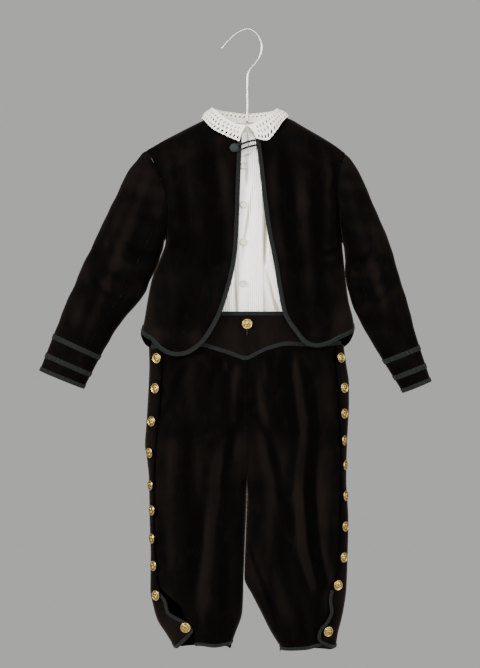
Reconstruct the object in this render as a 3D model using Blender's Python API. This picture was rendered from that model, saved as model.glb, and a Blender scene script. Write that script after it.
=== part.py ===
"""A boy's velvet suit on its hanger: short jacket, buttoned breeches and a white blouse.

Lengths in the tables are millimetres. X is the wearer's left, -Y the front, Z up, and the
origin is the inside of the hook's top. A garment's turn angle is 0 at the middle of its
front, 90 at the wearer's left side and 180 at the middle of its back.
"""

import math

import bmesh
import bpy
import numpy as np
from mathutils import Vector

MM = 0.001

# Cloth, braid and the gaps between sewn pieces
VELVET = 2.0
COTTON = 1.2
BRAID = 0.9
LIE = 0.35
SEAM = 0.4
WAIST_SEAM = 0.9
OVAL = 0.75

# Jacket
BINDING = 6.5
ROUNDING = 50.0
JACKET_NECK = 54.5
BACK_NECK_DROP = 13.0
NECK_BEND = (13.0, -151.0)
HEM_BEND = (82.0, -6.0)
CUFF_BRAID = 7.5
CUFF_BINDING = 6.5
SLEEVE_SEAM = 118.0
SLEEVE_GAP = 1.4
ARMHOLE_SEAM = 1.5

# Breeches
WAIST_TOP = -422.5
WAIST_BRAID = 6.0
HEM_BRAID = 5.0
HEM = -920.0
BACK_LOWER = 7.0
TAB_TOP = -838
FORK_TOP = -600.0
FORK = -690.0
LAP = 4.0
LAP_ENDS = 182.0
LAP_FADE = 34.0
LEG_COLUMNS = 10
LEG_REACH = 0.985

# Blouse
BLOUSE_NECK = 47.0
BLOUSE_DROP = 4.2
BLOUSE_HEM = -465.0
BLOUSE_LAP = 2.0
DIP_START = -28.0
DIP_FADE = 14.0
FRONT_NECK_DEPTH = 24.0
BACK_NECK_DEPTH = 8.0
NARROWER = 0.94
TIP_INSET = 22.0
FOLD_HALF = 2.0
COLLAR_STAND = 1.9
COLLAR_LIE = 2.2

# Buttons and hanger
GILT_RADIUS = 7.8
GILT_FACING = 160.0
GILT_INSET = 0.96
TAB_INSET = 0.98
GILT_RISE = 0.1
PEARL_RADIUS = 5.1
COVERED_RADIUS = 6.5
WIRE_RADIUS = 1.7
BAR_RADIUS = 11.0
BAR_LIE = 0.7
BAR_TOP = -134.0
LOOP_RADIUS = 1.0


class Table:
    """A short table with named columns, read smoothly along its first one."""

    def __init__(self, columns, *rows):
        self.names = columns.split()
        self.rows = np.array(sorted(rows), float)

    def __call__(self, name, at):
        place = self.rows[:, 0]
        value = self.rows[:, self.names.index(name)]
        if at <= place[0] or at >= place[-1]:
            return float(np.interp(at, place, value))
        steps = np.diff(value) / np.diff(place)
        slopes = np.zeros(len(value))
        for i in range(1, len(steps)):
            if steps[i - 1] * steps[i] > 0:
                slopes[i] = 2 * steps[i - 1] * steps[i] / (steps[i - 1] + steps[i])
        slopes[0] = steps[0]
        slopes[-1] = steps[-1]
        i = int(np.searchsorted(place, at)) - 1
        span = place[i + 1] - place[i]
        t = (at - place[i]) / span
        return float(
            value[i] * (1 + 2 * t) * (1 - t) ** 2
            + span * slopes[i] * t * (1 - t) ** 2
            + value[i + 1] * t * t * (3 - 2 * t)
            + span * slopes[i + 1] * t * t * (t - 1)
        )


# Half sections of the jacket's body: its two sides, and how deep it is in front and behind
JACKET = Table(
    "z right left front back",
    (-120, -150, 150, 36, 34),
    (-182, -151, 150, 40, 38),
    (-220, -141, 152, 44, 42),
    (-256, -134, 151, 47, 45),
    (-288, -127, 147, 49, 47),
    (-315, -122, 142.5, 51, 49),
    (-345, -131, 145, 52, 50),
    (-375, -143, 148, 54, 51),
    (-405, -149, 152, 55, 52),
    (-440, -155, 160, 56, 53),
    (-460, -160, 161, 57, 54),
    (-495, -160, 161, 57, 55),
)
BLOUSE = Table(
    "z right left front back",
    (-120, -140, 140, 33, 31),
    (-182, -138, 138, 31, 30),
    (-256, -122, 134, 41, 39),
    (-315, -115, 134, 45, 43),
    (-345, -121, 137, 46, 44),
    (-375, -129, 138, 45, 43),
    (-400, -130, 133, 41.8, 41.4),
    (-428, -133.0, 131.0, 40.4, 40.8),
    (-478, -138.0, 136.5, 43.4, 44.9),
)
BREECHES = Table(
    "z right left front back",
    (-425, -138, 136, 44, 44),
    (-478, -143, 141.5, 47, 48),
    (-502, -142.5, 145, 49, 54),
    (-532, -143.5, 149, 52, 60),
    (-560, -145, 149, 54, 63),
    (-592, -147, 147.5, 56, 64),
    (-622, -149, 146, 55, 62),
    (-646, -145.5, 145.3, 53, 59),
    (-675, -143, 145, 50, 54),
    (-735, -142, 148, 45, 48),
    (-787, -140.5, 147, 42, 44),
    (-838, -141, 145, 40, 41),
    (-861, -137, 142, 39, 40),
    (-882, -131, 138, 37, 38),
    (-901, -119, 133, 35, 36),
    (-925, -104, 129, 34, 34),
)
INSEAM = Table(
    "z right left",
    (-425, -0.3, 0.3),
    (-690, -0.5, 0.4),
    (-760, -2.6, -2.1),
    (-821, -5, -4),
    (-847, -6, 8),
    (-873, -8, 21),
    (-901, -17, 35),
    (-925, -25, 50),
)

# Seen from the front: shoulder ridge, armholes and the edges of each piece
RIDGE = Table(
    "x z",
    (-151, -181), (-110, -158), (-66, -136), (-52, -130), (-30, -122), (0, -119),
    (30, -121), (48, -127), (60, -132), (97, -152), (130, -172), (150, -187),
)
ARMHOLE = {
    "right": ((-149, -181), (-138, -203), (-124, -234), (-118, -258), (-117, -288), (-122, -315)),
    "left": ((147, -186), (139, -209), (135, -236), (136, -262), (139, -292), (142.5, -320)),
}
UNDERARM = {"right": -315.0, "left": -320.0}
FRONT_EDGE = {
    "right": (
        (-8, -162), (-8.5, -188), (-10, -226), (-12, -284), (-15, -336), (-21, -370), (-29, -399),
        (-39, -428), (-55, -457), (-68, -473), (-85, -485), (-101, -489), (-116, -487),
        (-130, -479), (-143, -465),
    ),
    "left": (
        (11, -162), (15, -183), (20, -226), (24.5, -265), (30.5, -307), (39, -349), (45.5, -389),
        (52, -422), (59.5, -439), (69, -452), (80, -466), (92, -474), (106, -476), (122, -472),
        (139, -463),
    ),
}
SIDE_HEM = {"right": -448.0, "left": -446.0}
BACK_HEM = Table(
    "turn z",
    (90, -446), (110, -472), (130, -485), (180, -489), (230, -485), (250, -474), (270, -448),
)
WAIST_SEAM_LINE = Table(
    "x z",
    (-146, -479), (-100, -475), (-66, -475), (-48, -480), (-29, -485.5), (-1, -494.5), (12, -488.5),
    (33, -479), (61, -473), (104, -475), (142, -472),
)
FRONT_EDGE_LEG = Table(
    "z right left",
    (-815, -138, 144), (-832, -130, 140), (-840, -123, 137), (-862, -98, 132),
    (-878, -92, 126), (-900, -82, 121), (-925, -75, 118),
)
LAP_EDGE = Table(
    "z right left",
    (-470, -124, 130), (-560, -129, 136), (-640, -135, 138), (-740, -136, 137),
    (-801, -133.5, 135), (-837, -129, 127), (-850, -119, 124.5), (-868, -114, 126),
    (-878, -98, 123), (-887, -84, 118), (-897, -80, 110), (-908, -88, 108), (-920, -102, 124),
)
HEM_LINE = {
    "right": Table("x z", (-107, -923), (-72, -919), (-48, -922), (-24, -919)),
    "left": Table("x z", (50, -928), (86, -925), (117, -919), (132, -919)),
}
LEG_ROWS = (
    -478, -498, -530, -570, -617, -645, -668, -690, -725, -765, -800, -824, -838, -850,
    -860, -869, -878, -887, -897, -908, HEM + HEM_BRAID, HEM,
)

# Sleeves: the outer and inner edge of each ring, its half depth and its lean to the body
SLEEVE = {
    "right": Table(
        "ring outer_x outer_z inner_x inner_z depth lean",
        (1, -157, -184, -124.3, -318, 29, 13),
        (2, -178, -211, -125.4, -324, 31, 6),
        (3, -214, -285, -131, -342, 31, 0),
        (4, -243, -346, -149.5, -386, 29, 0),
        (4.5, -254, -371, -164, -413, 27.5, 0),
        (5, -266, -397, -186, -433, 26, 0),
        (6, -288, -452, -217, -485, 23, 0),
        (7, -311, -511, -245, -538, 20, 0),
    ),
    "left": Table(
        "ring outer_x outer_z inner_x inner_z depth lean",
        (1, 155, -192, 145, -323, 29, -10),
        (2, 174, -225, 146, -330, 31, -5),
        (3, 200, -284, 148, -354, 31, 0),
        (4, 221, -342, 152, -390, 29, 0),
        (4.5, 229.5, -371, 156.5, -411, 27.5, 0),
        (5, 238, -400, 166, -431, 26, 0),
        (6, 253, -456, 194, -480, 23, 0),
        (7, 276, -527, 234, -544, 20, 0),
    ),
}
CUFF_RINGS = {"right": (6.06, 6.54), "left": (6.25, 6.62)}
CUFF_LENGTH = {"right": 61.0, "left": 75.0}

# Collar, all round from the wearer's right front: fold, outer edge and neck seam
COLLAR = Table(
    "place fold_x fold_y fold_z edge_x edge_z base",
    (0, -1.5, -44, -149.5, -11.5, -171, -1),
    (1, -16, -42, -146.5, -30.5, -163, -17),
    (2, -34, -33, -136, -50, -153, -34),
    (3, -47, -18, -124.5, -59, -144, -44),
    (4, -53, 2, -118.5, -66, -136, -47),
    (5, -44, 22, -120, -58, -142, -41),
    (6, -23, 33, -122.5, -32, -150, -22),
    (7, 0, 36, -124.5, 0, -153, 0),
    (8, 23, 33, -123, 32, -150, 22),
    (9, 41, 22, -121, 54, -141, 41),
    (10, 46, 2, -119.5, 60.5, -133, 47),
    (11, 41, -18, -125, 52, -142, 44),
    (12, 31, -33, -132.5, 43.5, -154.5, 34),
    (13, 16, -42, -143, 29, -169.5, 17),
    (14, 1.5, -44, -149.5, 13, -166.5, 1),
)

# Largest folds of the breeches' fronts: a line down each, how wide it is and how far it stands out
FOLDS = {
    "left": (
        (Table("z x", (-500, 71), (-558, 78), (-606, 83), (-675, 78), (-760, 82), (-835, 100)), 9, 4),
        (Table("z x", (-520, 92), (-606, 99), (-675, 94), (-760, 98), (-835, 116)), 9, -5),
    ),
    "right": (
        (Table("z x", (-640, -42), (-720, -50), (-860, -66)), 14, 4),
        (Table("z x", (-500, -96), (-548, -119), (-580, -132)), 9, -4),
    ),
}

GILT_PLACES = {
    "right": (
        (-136, -492), (-138, -537), (-143, -586), (-146, -632), (-144, -681), (-142, -718),
        (-142, -760), (-140, -801), (-134, -844), (-92, -890),
    ),
    "left": (
        (142, -492), (146, -536), (147, -574), (148, -614), (148, -651), (147, -697),
        (147, -742), (145, -788), (137, -829), (120, -897),
    ),
}
WAIST_BUTTON = (0, -441)
PEARL_PLACES = ((-5, -207), (-5.5, -265), (-5.5, -320), (-5.5, -381))
COVERED_BUTTON = (-19, -180.5)

# Turned profiles: radius and height above the cloth
GILT_PROFILE = ((2.2, 0), (2.2, 1.9), (GILT_RADIUS, 2.3), (GILT_RADIUS, 3.1), (5.0, 4.3))
PEARL_PROFILE = ((1.8, 0), (PEARL_RADIUS, 0.6), (PEARL_RADIUS, 1.9))
COVERED_PROFILE = ((2.0, 0), (2.0, 3.6), (COVERED_RADIUS, 4.2), (COVERED_RADIUS, 5.4), (4.4, 6.8))

WIRE_ROUTE = (
    (-38, -28), (-28, -16), (-15, -4.5), (0, 1.7), (10, -2), (17, -9.5), (21.5, -20), (22, -29),
    (19, -40), (13, -49), (6, -57.5), (1.5, -66), (0.5, -77), (0.5, -107), (0.5, -139.7),
)
BAR_REACH = 102.0

# Grid spacings, close together where the cloth rounds over the shoulder
DOWN_BACK = (0, 0.006, 0.023, 0.05, 0.09, 0.14, 0.2, 0.27, 0.34, 0.43, 0.55, 0.69, 0.81, 0.9, 1)
TO_SHOULDER = (0, 0.25, 0.5, 0.69, 0.81, 0.9, 0.955, 0.988, 1)


def clear_scene():
    for old in list(bpy.data.objects):
        bpy.data.objects.remove(old, do_unlink=True)


def material(name, color, roughness, metallic=0.0):
    made = bpy.data.materials.new(name)
    made.use_nodes = True
    shader = made.node_tree.nodes["Principled BSDF"]
    shader.inputs["Base Color"].default_value = (*color, 1.0)
    shader.inputs["Roughness"].default_value = roughness
    shader.inputs["Metallic"].default_value = metallic
    return made


def smoothstep(value):
    t = min(max(value, 0.0), 1.0)
    return t * t * (3 - 2 * t)


def signed_power(value, exponent):
    return math.copysign(abs(value) ** exponent, value)


# Surfaces


def oval(table, turn, z):
    """A point of a flattened ring, for a turn angle in degrees."""
    across = math.sin(math.radians(turn))
    ahead = math.cos(math.radians(turn))
    x = abs(table("left" if across > 0 else "right", z)) * across
    y = -table("front" if ahead > 0 else "back", z) * signed_power(ahead, OVAL)
    return x, y


def body_surface(table, drop):
    """The outside of a garment's body, rounded over along the shoulder ridge."""

    def surface(turn, z):
        x, y = oval(table, turn, z)
        below = (RIDGE("z", x) - drop - z) / ROUNDING
        reach = min(abs(below), 1.0)
        return np.array((x, y * math.copysign(math.sqrt(1 - (1 - reach) ** 2), below), z))

    return surface


jacket_surface = body_surface(JACKET, 0.0)
blouse_surface = body_surface(BLOUSE, BLOUSE_DROP)


def hip_surface(turn, z):
    x, y = oval(BREECHES, turn, z)
    return np.array((x, y, z))


def leg_shape(side, z):
    """The middle, signed half width and first angle of a leg's ring."""
    level = min(max((FORK_TOP - z) / (FORK_TOP - FORK), 0.0), 1.0)
    first = math.asin(math.sqrt(1 - level * level) ** (1 / OVAL))
    outer = BREECHES(side, z)
    width = (outer - INSEAM(side, z)) / (1 + math.cos(first))
    return outer - width, width, math.degrees(first)


def leg_surface(side, folded=True):
    """The outside of a leg, for an angle of 0 at the inseam, 90 in front and 180 outside."""

    def surface(angle, z):
        middle, width, _ = leg_shape(side, z)
        x = middle - width * math.cos(math.radians(angle))
        ahead = math.sin(math.radians(angle))
        depth = BREECHES("front" if ahead > 0 else "back", z)
        y = -depth * signed_power(ahead, OVAL)
        if folded and ahead > 0:
            y -= fold_height(side, x, z) * ahead * ahead
        return np.array((x, y, z))

    return surface


def fold_height(side, x, z):
    """How far the largest folds stand out at a point of a leg's front."""
    height = 0.0
    for line, width, depth in FOLDS[side]:
        low, high = line.rows[0, 0], line.rows[-1, 0]
        fade = smoothstep((z - low) / 40 + 0.5) * smoothstep((high - z) / 40 + 0.5)
        height += depth * fade * math.exp(-(((x - line("x", z)) / width) ** 2))
    return height


def turn_at(table, x, z):
    """The turn angle of a point seen from the front."""
    side = table("left" if x > 0 else "right", z)
    return math.degrees(math.asin(min(abs(x / side), 1.0))) * (1 if x > 0 else -1)


def angle_at(side, x, z):
    """The angle in front of a leg's ring at a place across it."""
    middle, width, _ = leg_shape(side, z)
    return math.degrees(math.acos(min(max((middle - x) / width, -1.0), 1.0)))


# Curves and grids of places on a surface


def through(points, pieces=8):
    """A smooth line through points chosen by hand."""
    points = [np.array(p, float) for p in points]
    ends = [2 * points[0] - points[1]] + points + [2 * points[-1] - points[-2]]
    line = []
    for a, b, c, d in zip(ends, ends[1:], ends[2:], ends[3:]):
        for k in range(pieces):
            t = k / pieces
            line.append(0.5 * (2 * b + (c - a) * t + (2 * a - 5 * b + 4 * c - d) * t**2
                               + (3 * b - a - 3 * c + d) * t**3))
    return np.array(line + [points[-1]])


def spaced(line, fractions):
    """Places along a line, at fractions of its length."""
    length = np.concatenate(([0], np.cumsum(np.linalg.norm(np.diff(line, axis=0), axis=1))))
    return np.array([
        [np.interp(f * length[-1], length, line[:, k]) for k in range(line.shape[1])]
        for f in fractions
    ])


def joined(*pieces):
    """Lines laid end to end, each with its own number of places."""
    parts = [spaced(line, even(count)) for line, count in pieces]
    return np.vstack([parts[0]] + [part[1:] for part in parts[1:]])


def even(count):
    return np.linspace(0, 1, count)


def patch(start, end, first, last, rows, columns):
    """A grid between four lines: start to end along its columns, first to last along its rows."""
    grid = np.zeros((len(rows), len(columns), 2))
    for i, t in enumerate(rows):
        for j, s in enumerate(columns):
            corner = ((1 - s) * (1 - t) * start[0] + s * (1 - t) * end[0]
                      + (1 - s) * t * start[-1] + s * t * end[-1])
            grid[i, j] = ((1 - s) * start[i] + s * end[i] + (1 - t) * first[j] + t * last[j] - corner)
    return grid


def tangents(surface, u, v):
    step = 0.25
    along_u = (surface(u + step, v) - surface(u - step, v)) / (2 * step)
    along_v = (surface(u, v + step) - surface(u, v - step)) / (2 * step)
    return along_u, along_v


def inset(surface, line, width, sign):
    """A line of places moved sideways over the surface by a width."""
    moved = np.array(line)
    for i, (u, v) in enumerate(line):
        before = surface(*line[max(i - 1, 0)])
        after = surface(*line[min(i + 1, len(line) - 1)])
        along_u, along_v = tangents(surface, u, v)
        sideways = np.cross(np.cross(along_u, along_v), after - before)
        sideways *= sign * width / np.linalg.norm(sideways)
        step = np.linalg.lstsq(np.column_stack((along_u, along_v)), sideways, rcond=None)[0]
        moved[i] += step
    return moved


def below_ridge(grid, table, drop):
    """The same grid with no place higher than the shoulder ridge."""
    kept = np.array(grid)
    for place in kept.reshape(-1, 2):
        place[1] = min(place[1], RIDGE("z", oval(table, *place)[0]) - drop)
    return kept


def on_own_side(laid, thickness, side):
    """Keeps a panel and its wall in front of (-1) or behind (1) the shoulder and side seams."""
    points, normals = laid
    depth = np.maximum(points[..., 1] * side, 0.0)
    points[..., 1] = depth * side
    normals[..., 1] = np.minimum(normals[..., 1] * side, depth / thickness) * side
    normals /= np.linalg.norm(normals, axis=2, keepdims=True)
    return shift((points, normals), y=side * SEAM / 2)


def lay(surface, grid, sign=1, lift=None):
    """Points and outward normals of a surface over a grid of places."""
    points = np.zeros((*grid.shape[:2], 3))
    normals = np.zeros_like(points)
    for i in range(grid.shape[0]):
        for j in range(grid.shape[1]):
            u, v = grid[i, j]
            along_u, along_v = tangents(surface, u, v)
            normal = sign * np.cross(along_u, along_v)
            normals[i, j] = normal / np.linalg.norm(normal)
            points[i, j] = surface(u, v)
            if lift:
                points[i, j] += normals[i, j] * lift(u, v)
    return points, normals


def shift(laid, x=0.0, y=0.0, z=0.0):
    return laid[0] + np.array((x, y, z)), laid[1]


def part_of(laid, rows, columns):
    return laid[0][rows, columns], laid[1][rows, columns]


# Meshes


def add_object(name, vertices, faces, finish):
    mesh = bpy.data.meshes.new(name)
    mesh.from_pydata([tuple(v * MM for v in p) for p in vertices], [], faces)
    work = bmesh.new()
    work.from_mesh(mesh)
    bmesh.ops.recalc_face_normals(work, faces=work.faces)
    work.to_mesh(mesh)
    work.free()
    mesh.shade_smooth()
    mesh.set_sharp_from_angle(angle=math.radians(40))
    mesh.materials.append(finish)
    made = bpy.data.objects.new(name, mesh)
    bpy.context.scene.collection.objects.link(made)
    return made


def sheet(name, laid, low, high, finish, closed=False):
    """A closed wall over a grid of points, from a low to a high offset along its normals."""
    points, normals = laid
    rows, columns = points.shape[:2]
    flat = points.reshape(-1, 3)
    vertices = list((points + normals * high).reshape(-1, 3))
    vertices += list((points + normals * low).reshape(-1, 3))
    under = rows * columns
    spans = columns if closed else columns - 1
    faces = []
    for i in range(rows - 1):
        for j in range(spans):
            a, b = i * columns + j, i * columns + (j + 1) % columns
            c, d = b + columns, a + columns
            if np.linalg.norm(flat[a] - flat[c]) > np.linalg.norm(flat[b] - flat[d]):
                a, b, c, d = b, c, d, a
            for p, q, r in ((a, b, c), (a, c, d)):
                faces.append((p, q, r))
                faces.append((under + r, under + q, under + p))
    edge = []
    for j in range(spans):
        edge.append((j, (j + 1) % columns))
        edge.append(((rows - 1) * columns + (j + 1) % columns, (rows - 1) * columns + j))
    if not closed:
        for i in range(rows - 1):
            edge.append(((i + 1) * columns, i * columns))
            edge.append((i * columns + columns - 1, (i + 1) * columns + columns - 1))
    for a, b in edge:
        faces.append((b, a, under + a, under + b))
    return add_object(name, vertices, faces, finish)


def turned(name, profile, segments, place, normal, finish):
    """A button turned about its axis, standing just off the cloth along the normal."""
    facing = Vector(normal).to_track_quat("Z", "Y").to_matrix()
    vertices = []
    for radius, height in ((0.0, profile[0][1]), *profile, (0.0, profile[-1][1] + 0.3)):
        count = segments if radius else 1
        for k in range(count):
            angle = 2 * math.pi * k / count
            offset = Vector((radius * math.cos(angle), radius * math.sin(angle), height + LIE))
            vertices.append(np.array(place) + np.array(facing @ offset))
    faces = []
    last = 1 + segments * (len(profile) - 1)
    for k in range(segments):
        after = (k + 1) % segments
        faces.append((0, 1 + after, 1 + k))
        faces.append((last + k, last + after, len(vertices) - 1))
        for ring in range(len(profile) - 1):
            base = 1 + ring * segments
            faces.append((base + k, base + after, base + segments + after, base + segments + k))
    return add_object(name, vertices, faces, finish)


def tube(name, route, radius, sides, finish):
    """A round rod along a route, with flat ends."""
    vertices = []
    faces = []
    for i, point in enumerate(route):
        ahead = Vector(route[min(i + 1, len(route) - 1)] - route[max(i - 1, 0)]).normalized()
        side = ahead.cross(Vector((0, 1, 0))).normalized()
        other = side.cross(ahead)
        for k in range(sides):
            angle = 2 * math.pi * k / sides
            offset = side * math.cos(angle) + other * math.sin(angle)
            vertices.append(point + radius * np.array(offset))
    for i in range(len(route) - 1):
        for k in range(sides):
            a, b = i * sides + k, i * sides + (k + 1) % sides
            faces.append((a, b, b + sides, a + sides))
    faces.append(tuple(range(sides)))
    faces.append(tuple(reversed(range((len(route) - 1) * sides, len(route) * sides))))
    return add_object(name, vertices, faces, finish)


# Jacket


def armhole_line(side):
    """The armhole on the front of the jacket, from the shoulder to the underarm."""
    line = through(ARMHOLE[side])
    places = [(turn_at(JACKET, x, z), z) for x, z in line]
    places[0] = (places[0][0], RIDGE("z", line[0][0]))
    places[-1] = (90.0 if side == "left" else -90.0, UNDERARM[side])
    return np.array(places)


def shoulder_line(side, neck, tip, table, drop):
    xs = np.linspace(neck, tip, 9) * (1 if side == "left" else -1)
    places = []
    for x in xs:
        z = RIDGE("z", x) - drop
        places.append((turn_at(table, x, z), z))
    return np.array(places)


def jacket_front(side, velvet, braid):
    sign = 1 if side == "left" else -1
    rows = even(27)
    columns = np.array(TO_SHOULDER)
    edge = [(turn_at(JACKET, x, z), z) for x, z in through(FRONT_EDGE[side])]
    edge.append((sign * HEM_BEND[0], SIDE_HEM[side] + HEM_BEND[1]))
    edge.append((sign * 90.0, SIDE_HEM[side]))
    edge = spaced(np.array(edge), rows)
    inner = inset(jacket_surface, edge, BINDING, sign)
    inner[-1] = (sign * 90.0, SIDE_HEM[side] + BINDING)
    armhole = armhole_line(side)
    shoulder = shoulder_line(side, JACKET_NECK, abs(ARMHOLE[side][0][0]), JACKET, 0.0)
    outer = spaced(np.vstack((shoulder[:-1], armhole)), rows)
    neck = through((inner[0], (sign * NECK_BEND[0], NECK_BEND[1]), shoulder[0]))
    seam = np.array((inner[-1], (sign * 90.0, UNDERARM[side])))
    grid = patch(inner, outer, spaced(neck, columns), spaced(seam, columns), rows, columns)
    grid = below_ridge(np.concatenate((edge[:, None], grid), axis=1), JACKET, 0.0)
    laid = on_own_side(lay(jacket_surface, grid), VELVET, -1)
    sheet(f"jacket_front_{side}", laid, -VELVET, 0.0, velvet)
    band = part_of(laid, slice(None), slice(0, 2))
    sheet(f"front_binding_{side}", band, LIE, LIE + BRAID, braid)


def jacket_back(velvet, braid):
    sides = []
    for side in ("left", "right"):
        armhole = armhole_line(side)
        armhole[:, 0] = (180.0 if side == "left" else -180.0) - armhole[:, 0]
        corner = 90.0 if side == "left" else -90.0
        low = np.array((corner, SIDE_HEM[side] + BINDING))
        sides.append(np.vstack((armhole, [low])))
    sides[1][:, 0] += 360.0
    rows = np.array(DOWN_BACK)
    shoulders = []
    for side in ("left", "right"):
        line = shoulder_line(side, JACKET_NECK, abs(ARMHOLE[side][0][0]), JACKET, 0.0)
        line[:, 0] = 180.0 - line[:, 0]
        shoulders.append(line)
    ends = shoulders[0][0], shoulders[1][0]
    drop = [(turn, ends[0][1] - BACK_NECK_DROP * math.sin(math.pi * k / 8))
            for k, turn in enumerate(np.linspace(ends[0][0], ends[1][0], 9))]
    top = joined((shoulders[0][::-1], 6), (np.array(drop), 8), (shoulders[1], 6))
    columns = even(len(top))
    hem = np.array([(turn, BACK_HEM("z", turn)) for turn in 90 + 180 * columns])
    above = hem + np.array((0.0, BINDING))
    left = spaced(sides[0], rows)
    right = spaced(sides[1], rows)
    grid = np.swapaxes(patch(top, above, left, right, columns, rows), 0, 1)
    grid = below_ridge(np.concatenate((grid, hem[None]), axis=0), JACKET, 0.0)
    laid = on_own_side(lay(jacket_surface, grid), VELVET, 1)
    sheet("jacket_back", laid, -VELVET, 0.0, velvet)
    sheet("back_binding", part_of(laid, slice(-2, None), slice(None)), LIE, LIE + BRAID, braid)


def sleeve_surface(side):
    """The outside of a sleeve, for an angle of 0 outside, 90 in front and 180 inside."""
    table = SLEEVE[side]
    places = armhole_line(side)
    outward = 1 if side == "left" else -1

    def armhole(angle):
        angle = angle % 360.0
        u, v = spaced(places, [angle / 180 if angle <= 180 else (360 - angle) / 180])[0]
        lowered = smoothstep(angle / 180 if angle <= 180 else (360 - angle) / 180)
        if angle > 180:
            u = 180.0 * outward - u
        return jacket_surface(u, v) + np.array((outward * ARMHOLE_SEAM, 0.0, 0.5 * lowered))

    def ring(angle, at):
        a = math.radians(angle)
        outer = np.array((table("outer_x", at), 0.0, table("outer_z", at)))
        inner = np.array((table("inner_x", at), 0.0, table("inner_z", at)))
        point = (outer + inner) / 2 + (outer - inner) / 2 * math.cos(a)
        point[0] += table("lean", at) * math.sin(a) ** 2
        point[1] = -table("depth", at) * signed_power(math.sin(a), 0.85)
        return point

    def surface(angle, at):
        if at >= 1:
            return ring(angle, at)
        return armhole(angle) * (1 - at) + ring(angle, 1.0) * at

    return surface


def sleeve(side, velvet, braid):
    sign = 1 if side == "right" else -1
    surface = sleeve_surface(side)
    first, second = CUFF_RINGS[side]
    length = CUFF_LENGTH[side]
    rings = [0, 1, 2, 3, 4, 5, first, first + CUFF_BRAID / length,
             second, second + CUFF_BRAID / length, 7 - CUFF_BINDING / length, 7]

    def piece(angles):
        grid = np.array([[(a, r) for a in angles] for r in rings])
        return sleeve_lay(surface, grid, sign)

    top = piece(np.linspace(SLEEVE_GAP - SLEEVE_SEAM, SLEEVE_SEAM - SLEEVE_GAP, 13))
    under = piece(np.linspace(SLEEVE_SEAM + SLEEVE_GAP, 360 - SLEEVE_SEAM - SLEEVE_GAP, 6))
    sheet(f"sleeve_{side}_top", top, -VELVET, 0.0, velvet)
    sheet(f"sleeve_{side}_under", under, -VELVET, 0.0, velvet)
    around = np.concatenate((top[0], under[0]), axis=1), np.concatenate((top[1], under[1]), axis=1)
    for name, row in (("upper", 6), ("lower", 8)):
        band = part_of(around, slice(row, row + 2), slice(None))
        sheet(f"cuff_braid_{side}_{name}", band, LIE, LIE + BRAID, braid, closed=True)
    band = part_of(around, slice(10, 12), slice(None))
    sheet(f"cuff_binding_{side}", band, LIE, LIE + BRAID, braid, closed=True)


def sleeve_lay(surface, grid, sign):
    """Like lay, for a surface whose second direction is counted in rings."""
    points = np.zeros((*grid.shape[:2], 3))
    normals = np.zeros_like(points)
    for i in range(grid.shape[0]):
        for j in range(grid.shape[1]):
            angle, ring = grid[i, j]
            around = surface(angle + 1, ring) - surface(angle - 1, ring)
            up = surface(angle, max(ring - 0.05, 0)) - surface(angle, min(ring + 0.05, 7))
            normal = sign * np.cross(around, up)
            normals[i, j] = normal / np.linalg.norm(normal)
            points[i, j] = surface(angle, ring)
    return points, normals


def jacket_closure(braid, cloth):
    """The covered button on the wearer's right front and the cord loop that holds it."""
    x, z = COVERED_BUTTON
    turn = turn_at(JACKET, x, z)
    along_u, along_v = tangents(jacket_surface, turn, z)
    normal = np.cross(along_u, along_v)
    place = jacket_surface(turn, z) + np.array((0, -SEAM / 2, 0))
    turned("jacket_button", COVERED_PROFILE, 10, place, normal, cloth)
    route = through((
        (14, -168.5), (2, -171), (-8, -174.5), (-15.5, -176), (-23, -177.3), (-24.6, -180.8),
        (-22, -184.6), (-15.5, -185), (-8, -182.5), (2, -179), (14, -176),
    ), 2)
    height = LIE + BRAID + LIE + LOOP_RADIUS
    line = []
    for x, z in route:
        point = jacket_surface(turn_at(JACKET, x, z), z)
        line.append(point + np.array((0, -SEAM / 2 - height, 0)))
    tube("jacket_loop", line, LOOP_RADIUS, 5, braid)


# Breeches


def waistband(velvet, braid):
    front = angle_at("left", BREECHES("left", LEG_ROWS[0]) * LEG_REACH, LEG_ROWS[0]) - 90
    turns = np.concatenate((np.linspace(0, front, LEG_COLUMNS), np.linspace(90, 180, 8)))
    turns = np.concatenate((-turns[::-1], turns[1:-1]))
    rows = []
    for level in range(5):
        row = []
        for turn in turns:
            x = hip_surface(turn, -475)[0]
            low = WAIST_SEAM_LINE("z", x) if abs(turn) <= 90 else -476.0
            heights = (WAIST_TOP, WAIST_TOP - WAIST_BRAID, (WAIST_TOP + low) / 2, low + WAIST_BRAID, low)
            row.append((turn, heights[level]))
        rows.append(row)
    laid = lay(hip_surface, np.array(rows))
    sheet("waistband", laid, -VELVET, 0.0, velvet, closed=True)
    for name, row in (("top", 0), ("low", 3)):
        band = part_of(laid, slice(row, row + 2), slice(None))
        sheet(f"waist_braid_{name}", band, LIE, LIE + BRAID, braid, closed=True)


def leg_heights(side, surface, angles_of):
    """Places over a leg, whose top follows the waist seam and whose foot follows the hem."""
    grid = []
    for z in LEG_ROWS:
        row = []
        for angle in angles_of(z):
            x = surface(angle, z)[0]
            in_front = angle <= 180
            top = WAIST_SEAM_LINE("z", x) if in_front else -476.0
            rise = (top - WAIST_SEAM - LEG_ROWS[0]) * (1 - smoothstep((LEG_ROWS[0] - z) / 60))
            low = HEM_LINE[side]("z", x) - HEM if in_front else -BACK_LOWER * smoothstep((angle - 180) / 30)
            fall = low * smoothstep((z - HEM) / -40 + 1)
            row.append((angle, z + rise + fall))
        grid.append(row)
    return np.array(grid)


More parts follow.
